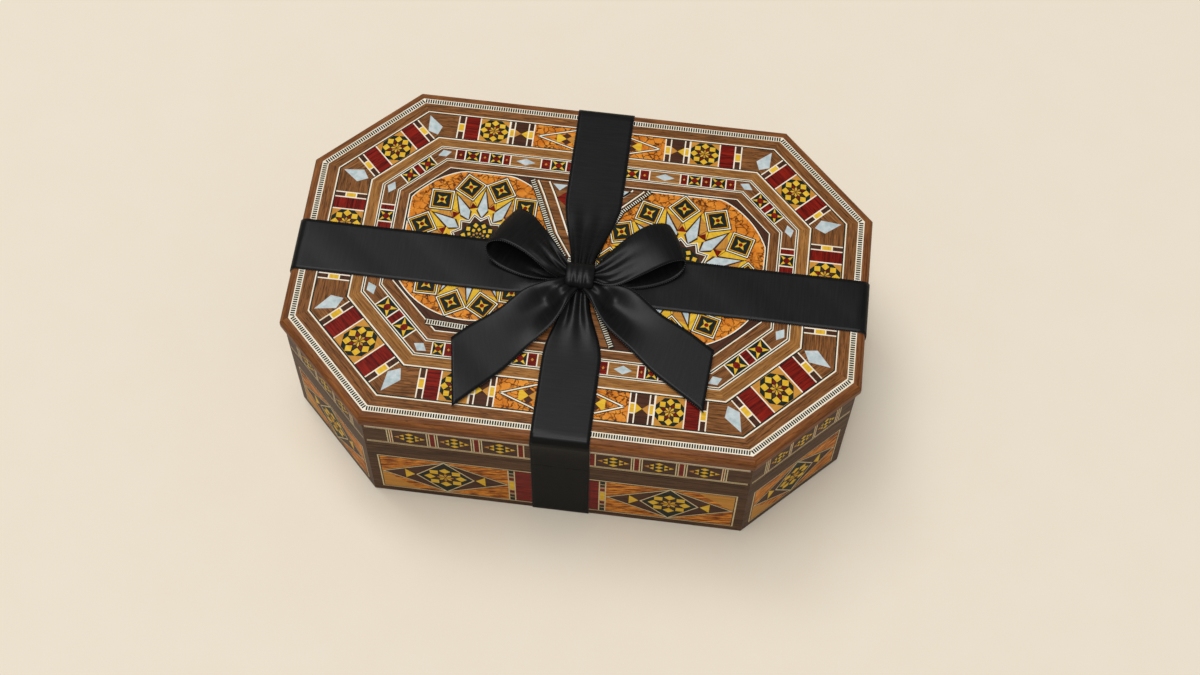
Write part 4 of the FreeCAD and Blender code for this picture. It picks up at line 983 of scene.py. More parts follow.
def star_tile(inlay: Inlay, face: Face, middle: Point, half_along: float, half_across: float,
              layer: int = 1) -> None:
    """A four-pointed lemonwood star with a padauk middle, for an ebony tile."""
    count = 8
    reaches = (STAR_POINT_SHARE * math.sqrt(2), STAR_NOTCH_SHARE)
    points = []
    for index in range(count):
        reach = reaches[index % 2]
        angle = 2 * math.pi / count * (index + 1)
        points.append((middle[0] + half_along * reach * math.cos(angle),
                       middle[1] + half_across * reach * math.sin(angle)))
    inlay.lay(Wood.LEMONWOOD, face, points, layer)
    side = STAR_MIDDLE_SHARE * min(half_along, half_across)
    inlay.lay(Wood.PADAUK, face, star(middle, (side,), count, math.pi / count), layer + 1)


def sections(shares: Sequence[tuple[str, float]], half: float) -> list[tuple[str, float, float]]:
    """Stretches of a band from its middle outwards: name, start and end."""
    starts = [0.0] + [share * half for _, share in shares]
    return [(name, start, share * half) for (name, share), start in zip(shares, starts)]


def mirrored(start: float, end: float, middle: float = 0.0) -> list[Point]:
    """The stretches that a section takes on both halves of a side: one if it spans the middle."""
    if start == 0:
        return [(middle - end, middle + end)]
    return [(middle + start, middle + end), (middle - end, middle - start)]


# The lid's top

OUTER_BAND_SHARES = {
    "long": (("panel", 0.409), ("strip", 0.451), ("hourglass", 0.531), ("strip", 0.568), ("rosette", 0.752),
             ("bar", 0.844), ("strip", 0.891)),
    "short": (("block", 0.444), ("bar", 0.640), ("strip", 0.741)),
    "corner": (("rosette", 0.367), ("bar", 0.722), ("strip", 0.889)),
}
INNER_BAND_SHARES = {
    "long": (("star", 0.043), ("ground", 0.126), ("bar", 0.196), ("star", 0.300), ("bar", 0.366),
             ("rhombus", 0.574), ("bar", 0.624), ("star", 0.716), ("bar", 0.779), ("star", 0.880),
             ("bar", 0.942)),
    "short": (("star", 0.115), ("bar", 0.300), ("star", 0.540), ("bar", 0.660)),
    "corner": (("bar", 0.120), ("star", 0.600)),
}
# How far a side's narrow band is laid from its place, and the share of the side that the band may fill
INNER_BAND_SHIFTS = {"front": -5.0}
INNER_BAND_SHARE = 0.945


@dataclass
class Medallion:
    """A twelve-fold medallion, whose star sits a little behind the middle of its squares."""

    inlay: Inlay
    face: Face
    radius: float
    turn: float
    lift: float
    count: int = 12
    ring_share: float = 0.815
    corner: float = 7.05
    # How far in each of a square's nested frames starts
    frames: tuple[tuple[float, Wood], ...] = (
        (-0.4, Wood.EBONY), (0.0, Wood.BONE), (0.46, Wood.EBONY), (0.9, Wood.LEMONWOOD), (1.26, Wood.PADAUK),
        (1.56, Wood.EBONY))
    square_star_shares: Point = (0.42, 0.16)
    square_middle_share: float = 0.14
    # The star's ground: its points under the squares and between them
    star_shares: Point = (0.66, 0.77)
    # Tip, widest place, foot and half width of the pearl kites, and of the dark kites below them
    pearl_shares: tuple[float, ...] = (0.752, 0.46, 0.338, 0.071)
    edge_shares: tuple[float, ...] = (0.81, 0.46, 0.305, 0.098)
    # Knee, foot and flank of the star's rays, and how far round the flank lies
    knee_share: float = 0.47
    foot_share: float = 0.765
    flank_share: float = 0.45
    flank_turn_share: float = 0.29
    ray_line: float = 0.22
    # Tip, base and end of the small teeth between the kites, and how far round their base reaches
    tooth_shares: tuple[float, ...] = (0.57, 0.485, 0.40)
    tooth_turn: float = 0.12
    # Points and notches of the zigzag lines round the heart
    zigzag_shares: tuple[tuple[float, float, Wood], ...] = (
        (0.405, 0.325, Wood.BONE), (0.388, 0.308, Wood.EBONY), (0.371, 0.291, Wood.BONE),
        (0.354, 0.274, Wood.DARK_WALNUT))
    heart_share: float = 0.262
    # Place, size and turn of the heart's rings of diamonds
    diamond_shares: tuple[tuple[float, float, float, Wood], ...] = (
        (0.212, 0.036, 0.0, Wood.LEMONWOOD), (0.148, 0.027, 0.5, Wood.LEMONWOOD),
        (0.09, 0.018, 0.0, Wood.HONEY))
    heart_star_shares: Point = (0.05, 0.02)

    def at(self, share: float, angle: float) -> Point:
        """The place at a share of the radius and an angle."""
        reach = share * self.radius
        lift = self.lift * max(0.0, 1 - share / self.ring_share)
        return reach * math.cos(angle), reach * math.sin(angle) + lift

    def kite(self, angle: float, tip: float, widest: float, foot: float, half: float) -> list[Point]:
        """A kite that points outwards."""
        spread = math.atan(half / widest)
        return [self.at(tip, angle), self.at(widest, angle + spread), self.at(foot, angle),
                self.at(widest, angle - spread)]

    def zigzag(self, outer: float, inner: float) -> list[Point]:
        """A zigzag line round the middle."""
        step = math.pi / self.count
        return [self.at(inner if index % 2 else outer, self.turn + index * step)
                for index in range(2 * self.count)]

    def build(self) -> None:
        """Lays the medallion: squares, star with pearl kites, zigzag line and heart."""
        step = 2 * math.pi / self.count
        inlay, face = self.inlay, self.face
        inlay.lay(Wood.LEMONWOOD, face, self.zigzag(*self.star_shares))
        for index in range(self.count):
            angle = self.turn + index * step
            self.square(angle)
            between = angle - step / 2
            inlay.lay(Wood.DARK_WALNUT, face, self.kite(between, *self.edge_shares), 3)
            inlay.lay(Wood.PEARL, face, self.kite(between, *self.pearl_shares), 4)
            tip, knee = self.at(self.star_shares[0], angle), self.at(self.knee_share, angle)
            for sign, tone in ((-1, Wood.LEMONWOOD), (1, Wood.HONEY)):
                flank = self.at(self.flank_share, angle + sign * step * self.flank_turn_share)
                foot = self.at(self.foot_share, angle + sign * step / 2)
                inlay.lay(tone, face, [tip, foot, flank, knee], 2)
                inlay.line(Wood.DARK_WALNUT, face, tip, flank, self.ray_line, 3)
            out, root, end = self.tooth_shares
            base = [self.at(root, angle + sign * self.tooth_turn) for sign in (-1, 1)]
            inlay.lay(Wood.PADAUK, face, [self.at(out, angle), *base], 4)
            inlay.lay(Wood.LEMONWOOD, face, [*base, self.at(end, angle)], 4)
        self.heart()

    def square(self, angle: float) -> None:
        """One framed square: nested lines of ebony, bone, lemonwood and padauk round a star."""
        place = self.face.at(*self.at(self.ring_share, angle))
        centre = (place.x, place.y)
        outline = star(centre, (self.corner,), 4, angle)
        for layer, (step, wood) in enumerate(self.frames, start=5):
            self.inlay.lay(wood, TOP, inset(outline, step), layer)
        radii = [self.corner * share for share in self.square_star_shares]
        self.inlay.lay(Wood.LEMONWOOD, TOP, star(centre, radii, 4, angle), 11)
        middle = self.corner * self.square_middle_share
        self.inlay.lay(Wood.PADAUK, TOP, star(centre, (middle,), 8, angle), 12)

    def heart(self) -> None:
        """The zigzag line and the rosette of small diamonds in it."""
        step = 2 * math.pi / self.count
        inlay, face = self.inlay, self.face
        for layer, (outer, inner, wood) in enumerate(self.zigzag_shares, start=5):
            inlay.lay(wood, face, self.zigzag(outer, inner), layer)
        ground = [self.at(self.heart_share, self.turn + index * step / 2) for index in range(2 * self.count)]
        inlay.lay(Wood.EBONY, face, ground, 9)
        for index in range(self.count):
            for ring, size, shift, wood in self.diamond_shares:
                angle = self.turn + index * step + shift * step
                inlay.lay(wood, face, star(self.at(ring, angle), (size * self.radius,), 4, angle), 10)
        radii = [share * self.radius for share in self.heart_star_shares]
        inlay.lay(Wood.LEMONWOOD, face, star(self.at(0, 0), radii, 8), 10)


@dataclass
class TopMosaic:
    """The lid's mosaic: stringing, bands and medallions."""

    finishes: Finishes
    outer_start: float = 8.4
    outer_end: float = 22.0
    inner_start: float = 29.0
    inner_end: float = 34.8
    field_start: float = 40.8
    line: float = 0.55
    dark_lines: tuple[Point, ...] = ((7.85, 8.4), (22.0, 22.5), (28.1, 28.6), (35.2, 35.7), (40.45, 40.8))
    ladder_edges: Point = (-0.2, 2.6)
    rung_depth: float = 1.2
    rung_pitch: float = 1.08
    rung_width: float = 0.66
    rung_length: float = 1.9
    rung_height: float = LAYER * 1.6
    mitre_gap: float = 0.75
    # Tip and shoulder of a burl panel's rhombus, and the woods and widths of its line
    tip_share: float = 0.93
    shoulder_share: float = 0.27
    panel_lines: tuple[tuple[float, Wood, int], ...] = ((1.35, Wood.EBONY, 4), (0.6, Wood.BONE, 5))
    # The triangles in it: where they meet, how far and how high they reach, and the line behind them
    waist_share: float = 0.5
    wing_share: float = 0.15
    rise_share: float = 0.52
    post_share: float = 0.35
    post_gap_share: float = 0.2
    post_line: float = 0.4
    hourglass_share: float = 0.17
    pearl_shares: Point = (0.62, 0.70)
    bar_diamond_shares: Point = (0.3, 0.26)
    # Room for the medallions in the field
    disc_share: float = 0.92
    clear_share: float = 0.985
    level_share: float = 0.97
    medallion_lifts: Point = (3.2, 1.9)
    # The burl round a medallion: how wide it is, how far back its circle lies, and its fine lines
    ground_shares: Point = (1.035, 1.085)
    ground_back: float = 1.0
    ground_count: int = 96
    ground_lines: Point = (0.4, 0.9)
    disc_lines: tuple[float, ...] = (0.3, 0.6, 0.9)
    inlay: Inlay = field(default_factory=lambda: Inlay("top_inlay", "lid"))

    def build(self) -> None:
        """Lays the whole top."""
        for side in SIDES:
            self.along(Wood.BONE, side, *self.ladder_edges)
            for start, end in self.dark_lines:
                self.along(Wood.EBONY, side, start, end)
            self.outer_band(side)
            self.inner_band(side)
        self.medallions()
        self.inlay.build(self.finishes)
        self.ladder()

    def along(self, wood: Wood, side: Side, start: float, end: float) -> None:
        """A line along one side, from one nominal depth to another."""
        corners = [(side.top_end(-1, start), start), (side.top_end(1, start), start),
                   (side.top_end(1, end), end), (side.top_end(-1, end), end)]
        self.inlay.lay(wood, side.top_face(), corners)

    def ladder(self) -> None:
        """The rungs of the ladder stringing round the top and across the field."""
        depth = self.rung_depth
        paths = []
        for side in SIDES:
            face = side.top_face()
            ends = [side.top_end(sign, depth) - sign * self.mitre_gap for sign in (-1, 1)]
            paths.append([face.at(end, depth) + UP * LAYER for end in ends])
        for line in (*CROSSING_LINES, FRONT_LADDER):
            paths.append([TOP.at(*point) + UP * LAYER * 15 for point in line])
        size = (self.rung_width, self.rung_length, self.rung_height)
        piece = row_piece("top_ladder_rungs", paths, RowShape.BLOCK, self.rung_pitch, size,
                          self.finishes.woods[Wood.EBONY])
        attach(piece, "lid")

    def across(self, face: Face, u: float, start: float, end: float, layer: int = 1) -> None:
        """A bone line across a band."""
        self.inlay.lay(Wood.BONE, face, rectangle(u - self.line / 2, u + self.line / 2, start, end), layer)

    def strip(self, face: Face, u_from: float, u_to: float, start: float, end: float) -> None:
        """A strip of three cells between bone lines, the middle one lemonwood."""
        third = (end - start) / 3
        for u in (u_from + self.line / 2, u_to - self.line / 2):
            self.across(face, u, start, end)
        inner = (u_from + self.line, u_to - self.line)
        self.inlay.lay(Wood.LEMONWOOD, face, rectangle(*inner, start + third, end - third))
        for v in (start + third, end - third):
            self.inlay.lay(Wood.BONE, face, rectangle(*inner, v - self.line / 2, v + self.line / 2), 2)

    def panel(self, face: Face, u: float, half: float, start: float, end: float) -> None:
        """The burl panel: a long rhombus in a bone and ebony line, with triangles of three woods in it."""
        inlay = self.inlay
        middle = (start + end) / 2
        tall = (end - start) / 2
        wing, rise, gap = half * self.wing_share, tall * self.rise_share, tall * self.post_gap_share
        inlay.lay(Wood.BURL, face, rectangle(u - half, u + half, start, end))
        for sign in (-1, 1):
            tip, shoulder, waist, post = (u + sign * half * share for share in (
                self.tip_share, self.shoulder_share, self.waist_share, self.post_share))
            for v in (start, end):
                for width, wood, layer in self.panel_lines:
                    inlay.line(wood, face, (tip, middle), (shoulder, v), width, layer)
            inlay.lay(Wood.DARK_WALNUT, face, diamond(waist, middle, wing, rise), 2)
            for way, wood in ((1, Wood.LEMONWOOD), (-1, Wood.HONEY)):
                edge = waist + way * sign * wing
                inlay.lay(wood, face, [(waist, middle), (edge, middle - rise), (edge, middle + rise)], 3)
            inlay.line(Wood.BONE, face, (post, start + gap), (post, end - gap), self.post_line, 4)

    def hourglass(self, face: Face, u_from: float, u_to: float, start: float, end: float) -> None:
        """Two triangles that point at each other on dark walnut."""
        middle = (start + end) / 2
        u = (u_from + u_to) / 2
        rise = (end - start) * self.hourglass_share
        self.inlay.lay(Wood.DARK_WALNUT, face, rectangle(u_from, u_to, start, end))
        for edge, wood in ((u_from, Wood.LEMONWOOD), (u_to, Wood.HONEY)):
            self.inlay.lay(wood, face, [(edge, middle - rise), (u, middle), (edge, middle + rise)], 2)

    def outer_band(self, side: Side) -> None:
        """The wide band on one side."""
        face = side.top_face()
        start, end = self.outer_start, self.outer_end
        middle, half = side.top_stretch(end)
        centre = (start + end) / 2
        for name, near, far in sections(OUTER_BAND_SHARES[side.kind], half):
            for u_from, u_to in mirrored(near, far, middle):
                u = (u_from + u_to) / 2
                if name == "panel":
                    self.panel(face, u, far, start, end)
                elif name == "strip":
                    self.strip(face, u_from, u_to, start, end)
                elif name == "hourglass":
                    self.hourglass(face, u_from, u_to, start, end)
                elif name == "rosette":
                    self.inlay.lay(Wood.HONEY, face, rectangle(u_from, u_to, start, end))
                    rosette(self.inlay, face, (u, centre), min(u_to - u_from, end - start) / 2)
                    for edge in (u_from, u_to):
                        self.across(face, edge, start, end, 5)
                elif name == "block":
                    self.inlay.lay(Wood.HONEY, face, rectangle(u_from, u_to, start, end))
                    for edge in (u_from, u, u_to):
                        self.across(face, edge, start, end, 5)
                    for middle_u in ((u_from + u) / 2, (u + u_to) / 2):
                        rosette(self.inlay, face, (middle_u, centre), min(u_to - u, end - start) / 2)

    def inner_band(self, side: Side) -> None:
        """The narrow band on one side."""
        face = side.top_face()
        start, end = self.inner_start, self.inner_end
        middle, half = side.top_stretch(end)
        centre = (start + end) / 2
        tall = (end - start) / 2
        shift = INNER_BAND_SHIFTS.get(side.name, 0.0)
        room = (middle - half * INNER_BAND_SHARE, middle + half * INNER_BAND_SHARE)
        over = 2 if shift else 1
        if shift:
            self.inlay.lay(Wood.LIGHT_WALNUT, face, rectangle(*room, start, end))
        cover = {"star": Wood.EBONY, "bar": Wood.PADAUK}
        edges = set()
        for name, near, far in sections(INNER_BAND_SHARES[side.kind], half):
            for ends in mirrored(near, far, middle + shift):
                u_from, u_to = (min(max(u, room[0]), room[1]) for u in ends)
                u, wide = (u_from + u_to) / 2, (u_to - u_from) / 2
                if wide < self.line:
                    continue
                if shift and name in cover:
                    self.inlay.lay(cover[name], face, rectangle(u_from, u_to, start, end), over)
                if name == "star":
                    star_tile(self.inlay, face, (u, centre), wide - self.line / 2, tall, 2 * over - 1)
                elif name == "rhombus":
                    lozenge = diamond(u, centre, wide * self.pearl_shares[0], tall * self.pearl_shares[1])
                    corners = rectangle(u_from, u_to, start, end)
                    self.inlay.ring(Wood.LIGHT_WALNUT, face, [corners[3], *corners[:3]], lozenge, over)
                    if shift:
                        self.inlay.lay(Wood.PEARL, face, lozenge, over)
                elif name == "ground":
                    self.inlay.lay(Wood.LIGHT_WALNUT, face, rectangle(u_from, u_to, start, end), over)
                elif side.kind == "long":
                    along, across = self.bar_diamond_shares
                    small = diamond(u, centre, wide * along, tall * across)
                    self.inlay.lay(Wood.HONEY, face, small, over + 1)
                edges |= {round(u_from, 3), round(u_to, 3)}
        for edge in edges:
            self.across(face, edge, start, end, 5)

    def medallion_faces(self) -> tuple[list[Face], float]:
        """The medallions' faces, and their radius in the field that the bands leave."""
        walls = {side.name: side.top_face().at(0, self.field_start) for side in SIDES}
        half_width = (walls["back"].y - walls["front"].y) / 2
        half_length = (walls["right"].x - walls["left"].x) / 2
        clear = self.clear_share
        radius = min(half_width * self.disc_share, half_length / 2 * clear)
        level = (walls["back"].y + walls["front"].y) / 2 + (half_width * clear - radius) * self.level_share
        faces = []
        for sign, share in zip((-1, 1), MEDALLION_WIDTH_SHARES):
            middle = TOP.at(sign * (half_length - radius * share / clear), level)
            faces.append(Face(middle, TOP.along * share, TOP.up))
            for side in SIDES:
                room = (walls[side.name] - middle).dot(side.out) * clear
                radius = min(radius, room / math.hypot(share * side.out.x, side.out.y))
        return faces, radius

    def medallions(self) -> None:
        """Both medallions, and the bands that cross between them."""
        faces, radius = self.medallion_faces()
        turns = (math.pi / 2 + math.pi / Medallion.count, math.pi / 2)
        for face, turn, lift, share in zip(faces, turns, self.medallion_lifts, self.ground_shares):
            Medallion(self.inlay, face, radius, turn, lift).build()
            self.ground(face, radius, radius * share)
        self.crossing()

    def ground(self, face: Face, radius: float, room: float) -> None:
        """Burl from a medallion's disc to the circle or the field's edge round it, with a fine line.

        Args:
            face: The medallion's face.
            radius: The disc's radius.
            room: The circle's radius.
        """
        share, back = face.along.length, self.ground_back
        rings: list[list[Point]] = [[], [], [], []]
        for index in range(self.ground_count):
            angle = 2 * math.pi * index / self.ground_count
            way = Vector((math.cos(angle), math.sin(angle), 0))
            reach = back * way.y + math.sqrt(room ** 2 - (back * way.x) ** 2)
            for side in SIDES:
                wall = side.top_face().at(0, self.field_start)
                slope = way.dot(side.out)
                if slope > 0.05:
                    reach = min(reach, (wall - face.middle).dot(side.out) / slope)
            disc = radius / math.hypot(way.x / share, way.y)
            insides = [disc - step for step in self.disc_lines]
            middles = [max(reach - step, inside) for step, inside in zip(self.ground_lines, insides)]
            for ring, distance in zip(rings, (max(reach, disc), *middles, insides[-1])):
                ring.append((way.x * distance / share, way.y * distance))
        for wood, outer, inner in ((Wood.EBONY, 0, 1), (Wood.BONE, 1, 2), (Wood.BURL, 2, 3)):
            self.inlay.ring(wood, face, rings[outer], rings[inner])

    def crossing(self) -> None:
        """The walnut bands and ladder lines that cross between the medallions, and the triangles by them."""
        inlay = self.inlay
        for line in CROSSING_LINES:
            (outside, start), end = line[0], line[-1][1]
            inlay.lay(Wood.WALNUT, TOP, [(CROSSING_MIDDLE, start), *line, (CROSSING_MIDDLE, end)], 13)
            side = math.copysign(1, outside)
            for offset, width, wood in CROSSING_STRINGS if start > 0 else LADDER_STRINGS:
                moved = [(u + side * offset, v) for u, v in line]
                for first, second in zip(moved, moved[1:]):
                    inlay.line(wood, TOP, first, second, width, 14)
        for offset, width, wood in FRONT_STRINGS:
            first, second = ((u, v + offset) for u, v in FRONT_LADDER)
            inlay.line(wood, TOP, first, second, width, 12)
        back = CROSSING_LINES[0][0][1]
        for side in (-1, 1):
            for wood, corners in CROSSING_TRIANGLES.items():
                inlay.lay(wood, TOP, [(side * u, back - v) for u, v in corners], 14)


# The walls

PANEL_SHARES = {
    "long": (("padauk", 0.240), ("strips", 0.275)),
    "short": (("padauk", 0.380), ("strips", 0.420)),
}
# The cells of a panel's upright strips
CELL_SHARES = ((0.10, 0.20, Wood.DARK_WALNUT), (0.23, 0.34, Wood.PADAUK), (0.36, 0.64, Wood.LEMONWOOD),
               (0.66, 0.77, Wood.PADAUK), (0.80, 0.90, Wood.DARK_WALNUT))
RIM_SHARES = {
    "long": (("walnut", 0.168), ("padauk", 0.205), ("diamonds", 0.387), ("padauk", 0.448),
             ("diamonds", 0.619), ("padauk", 0.680), ("diamonds", 0.858), ("walnut", 1.0)),
    "short": (("walnut", 0.346), ("padauk", 0.400), ("diamonds", 0.700), ("walnut", 1.0)),
    "corner": (("diamonds", 0.217), ("padauk", 0.270), ("diamonds", 0.668), ("walnut", 1.0)),
}
# A wide diamond on the rim: its dark ground, its flat diamonds, its tips and the wedges beside the ground
RIM_GROUND_SHARES = (0.33, 0.6)
RIM_LEVEL_SHARES = (-0.68, 0.0, 0.68)
RIM_DIAMOND_SHARE = 0.27
RIM_TIP_SHARES = ((0.68, -0.24), (0.68, 0.24), (1.0, 0.0))
RIM_WEDGE_SHARES = ((0.36, 0.05), (0.36, 0.56), (0.64, 0.3))


@dataclass
class WallMosaic:
    """The mosaic of the base's walls and of the lid's rim."""

    finishes: Finishes
    panel_bottom: float = 4.5
    panel_height: float = 32.0
    panel_margin: float = 4.0
    panel_line: float = 1.0
    edge_share: float = 0.62
    cell_edge: float = 0.25
    cell_gap: float = 0.3
    cell_line: float = 0.16
    corner_share: float = 0.42
    rhombus_dark: Point = (-0.3, 0.9)
    rhombus_light: Point = (0.0, 0.55)
    waist_share: float = 0.46
    waist_light: Point = (-0.05, 0.45)
    rosette_share: float = 0.97
    rim_bottom: float = 52.0
    rim_line: float = 1.5
    rim_height: float = 12.4
    rim_margin: float = 1.0
    rim_hair: float = 0.18
    upright: float = 0.5
    wide_spacer: float = 4.0
    diamond_gap: float = 0.6
    diamond_half: float = 4.9
    base: Inlay = field(default_factory=lambda: Inlay("base_inlay", "base"))
    rim: Inlay = field(default_factory=lambda: Inlay("rim_inlay", "lid"))

    def build(self) -> None:
        """Lays every wall."""
        for side in SIDES:
            self.base_panel(side)
            self.rim_band(side)
        self.base.build(self.finishes)
        self.rim.build(self.finishes)

    def rim_band(self, side: Side) -> None:
        """The diamonds and lines on one wall of the rim."""
        face = side.wall_face(self.rim_bottom)
        half = side.half(WALLS) - self.rim_margin
        low, high = self.rim_line, self.rim_line + self.rim_height
        for v in (low / 2, high + self.rim_line / 2):
            hair = rectangle(-half, half, v - self.rim_hair, v + self.rim_hair)
            self.rim.lay(Wood.DARK_WALNUT, face, hair)
        # The upper strip of the top line is laid in bone, lighter than the maple beneath: painted light on
        # the strip that the moulding above shades.
        edge = high + self.rim_line * self.edge_share
        self.rim.lay(Wood.BONE, face, rectangle(-half, half, edge, high + self.rim_line))
        for name, near, far in sections(RIM_SHARES[side.kind], half):
            for u_from, u_to in mirrored(near, far):
                if name == "diamonds":
                    wide = (u_to - u_from) / 2 - self.diamond_gap
                    self.diamonds(face, (u_from + u_to) / 2, (low + high) / 2, wide)
                elif name == "padauk":
                    wide = u_to - u_from > self.wide_spacer
                    woods = (Wood.MAPLE, Wood.EBONY, Wood.MAPLE) if wide else (Wood.MAPLE,)
                    self.lines(face, u_from, 1, low, high, woods)
                    self.lines(face, u_to, -1, low, high, woods)
                elif far == half:
                    way = 1 if u_from > 0 else -1
                    self.lines(face, way * near, way, low, high,
                               (Wood.MAPLE, Wood.PADAUK, Wood.MAPLE, Wood.EBONY, Wood.MAPLE))

    def lines(self, face: Face, start: float, way: int, low: float, high: float,
              woods: Sequence[Wood]) -> None:
        """Upright lines side by side on the rim, from a place along it."""
        for index, wood in enumerate(woods):
            edges = sorted(start + way * self.upright * step for step in (index, index + 1))
            self.rim.lay(wood, face, rectangle(*edges, low, high))

    def diamonds(self, face: Face, u: float, v: float, half: float) -> None:
        """A wide diamond: three flat diamonds on ebony between triangles that point along the rim."""
        tall = self.diamond_half

        def at(along: float, across: float) -> Point:
            """A place in shares of the diamond."""
            return u + along * half, v + across * tall

        along, across = RIM_GROUND_SHARES
        ground = rectangle(-along, along, -across, across)
        self.rim.lay(Wood.EBONY, face, [at(*place) for place in ground])
        flat = (RIM_DIAMOND_SHARE * half, RIM_DIAMOND_SHARE * tall)
        for level in RIM_LEVEL_SHARES:
            self.rim.lay(Wood.LEMONWOOD, face, diamond(*at(0, level), *flat), 2)
        for sign, wood in ((-1, Wood.HONEY), (1, Wood.LEMONWOOD)):
            self.rim.lay(wood, face, [at(sign * along, across) for along, across in RIM_TIP_SHARES])
            for side in (-1, 1):
                wedge = [at(sign * along, side * across) for along, across in RIM_WEDGE_SHARES]
                self.rim.lay(Wood.LEMONWOOD, face, wedge)

    def base_panel(self, side: Side) -> None:
        """The panel on one wall of the base."""
        face = side.wall_face(self.panel_bottom)
        outer = side.half(WALLS) - self.panel_margin
        low, high = self.panel_line, self.panel_line + self.panel_height
        half = outer - self.panel_line
        frame = rectangle(-outer, outer, 0, high + self.panel_line)
        self.base.border(Wood.EBONY, face, frame, self.panel_line * self.edge_share, self.panel_line)
        if side.kind == "corner":
            self.rhombus(face, -half, half, low, high)
            return
        reach = 0.0
        for name, near, far in sections(PANEL_SHARES[side.kind], half):
            reach = far
            for u_from, u_to in mirrored(near, far):
                if name == "strips":
                    self.strip(face, u_from, u_to, low, high)
        self.rhombus(face, reach, half, low, high)
        self.rhombus(face, -half, -reach, low, high)

    def strip(self, face: Face, u_from: float, u_to: float, low: float, high: float) -> None:
        """An upright strip of small cells between light lines, the middle one lemonwood."""
        for u in (u_from, u_to):
            edge = rectangle(u - self.cell_edge, u + self.cell_edge, low, high)
            self.base.lay(Wood.MAPLE, face, edge, 2)
        for start, end, wood in CELL_SHARES:
            levels = [low + share * (high - low) for share in (start, end)]
            self.base.lay(wood, face, rectangle(u_from + self.cell_gap, u_to - self.cell_gap, *levels))
            for v in levels:
                line = rectangle(u_from, u_to, v - self.cell_line, v + self.cell_line)
                self.base.lay(Wood.MAPLE, face, line, 2)

    def rhombus(self, face: Face, u_from: float, u_to: float, low: float, high: float) -> None:
        """The rhombus of a panel: light lines, an ebony diamond with a rosette, and one lighter corner."""
        u, v = (u_from + u_to) / 2, (low + high) / 2
        half, tall = (u_to - u_from) / 2, (high - low) / 2
        sign, level = (1, high) if u > 0 else (-1, low)
        end, turn = u + sign * half, u + sign * half * self.corner_share
        self.base.lay(Wood.HONEY, face, [(end, level), (end, v), (turn, level)])
        lozenge = diamond(u, v, half, tall)
        self.base.border(Wood.EBONY, face, lozenge, *self.rhombus_dark)
        self.base.border(Wood.MAPLE, face, lozenge, *self.rhombus_light, 2)
        waist = half * self.waist_share
        self.base.border(Wood.MAPLE, face, diamond(u, v, waist, tall), *self.waist_light, 3)
        radius = self.rosette_share * waist * tall / math.hypot(waist, tall)
        rosette(self.base, face, (u, v), radius, Wood.DARK_WALNUT)


# Ribbon and bow

def smooth_path(points: Sequence[Vector], count: int) -> list[Vector]:
    """A smooth line through points, evenly spaced.

    Args:
        points: Points that the line passes.
        count: How many points to give back.

    Returns:
        Points along the line.
    """
    steps = 24
    fine = []
    padded = [points[0] * 2 - points[1], *points, points[-1] * 2 - points[-2]]
    for before, start, end, after in zip(padded, padded[1:], padded[2:], padded[3:]):
        slope = end - before
        bend = 2 * before - 5 * start + 4 * end - after
        twist = 3 * start - before - 3 * end + after
        for index in range(steps):
            t = index / steps
            fine.append((2 * start + slope * t + bend * t ** 2 + twist * t ** 3) / 2)
    fine.append(points[-1].copy())
    lengths = [0.0]
    for start, end in zip(fine, fine[1:]):
        lengths.append(lengths[-1] + (end - start).length)
    found, place = [], 0
    for index in range(count):
        target = lengths[-1] * index / (count - 1)
        while place < len(fine) - 2 and lengths[place + 1] < target:
            place += 1
        span = max(lengths[place + 1] - lengths[place], 1e-9)
        found.append(fine[place].lerp(fine[place + 1], (target - lengths[place]) / span))
    return found


def ease(value: float) -> float:
    """A smooth step from 0 to 1."""
    share = min(max(value, 0.0), 1.0)
    return share * share * (3 - 2 * share)


def ramp(distance: float, change: Point) -> float:
    """How far a change has come, from 0 to 1: where it starts and how long it takes."""
    return ease((distance - change[0]) / change[1])


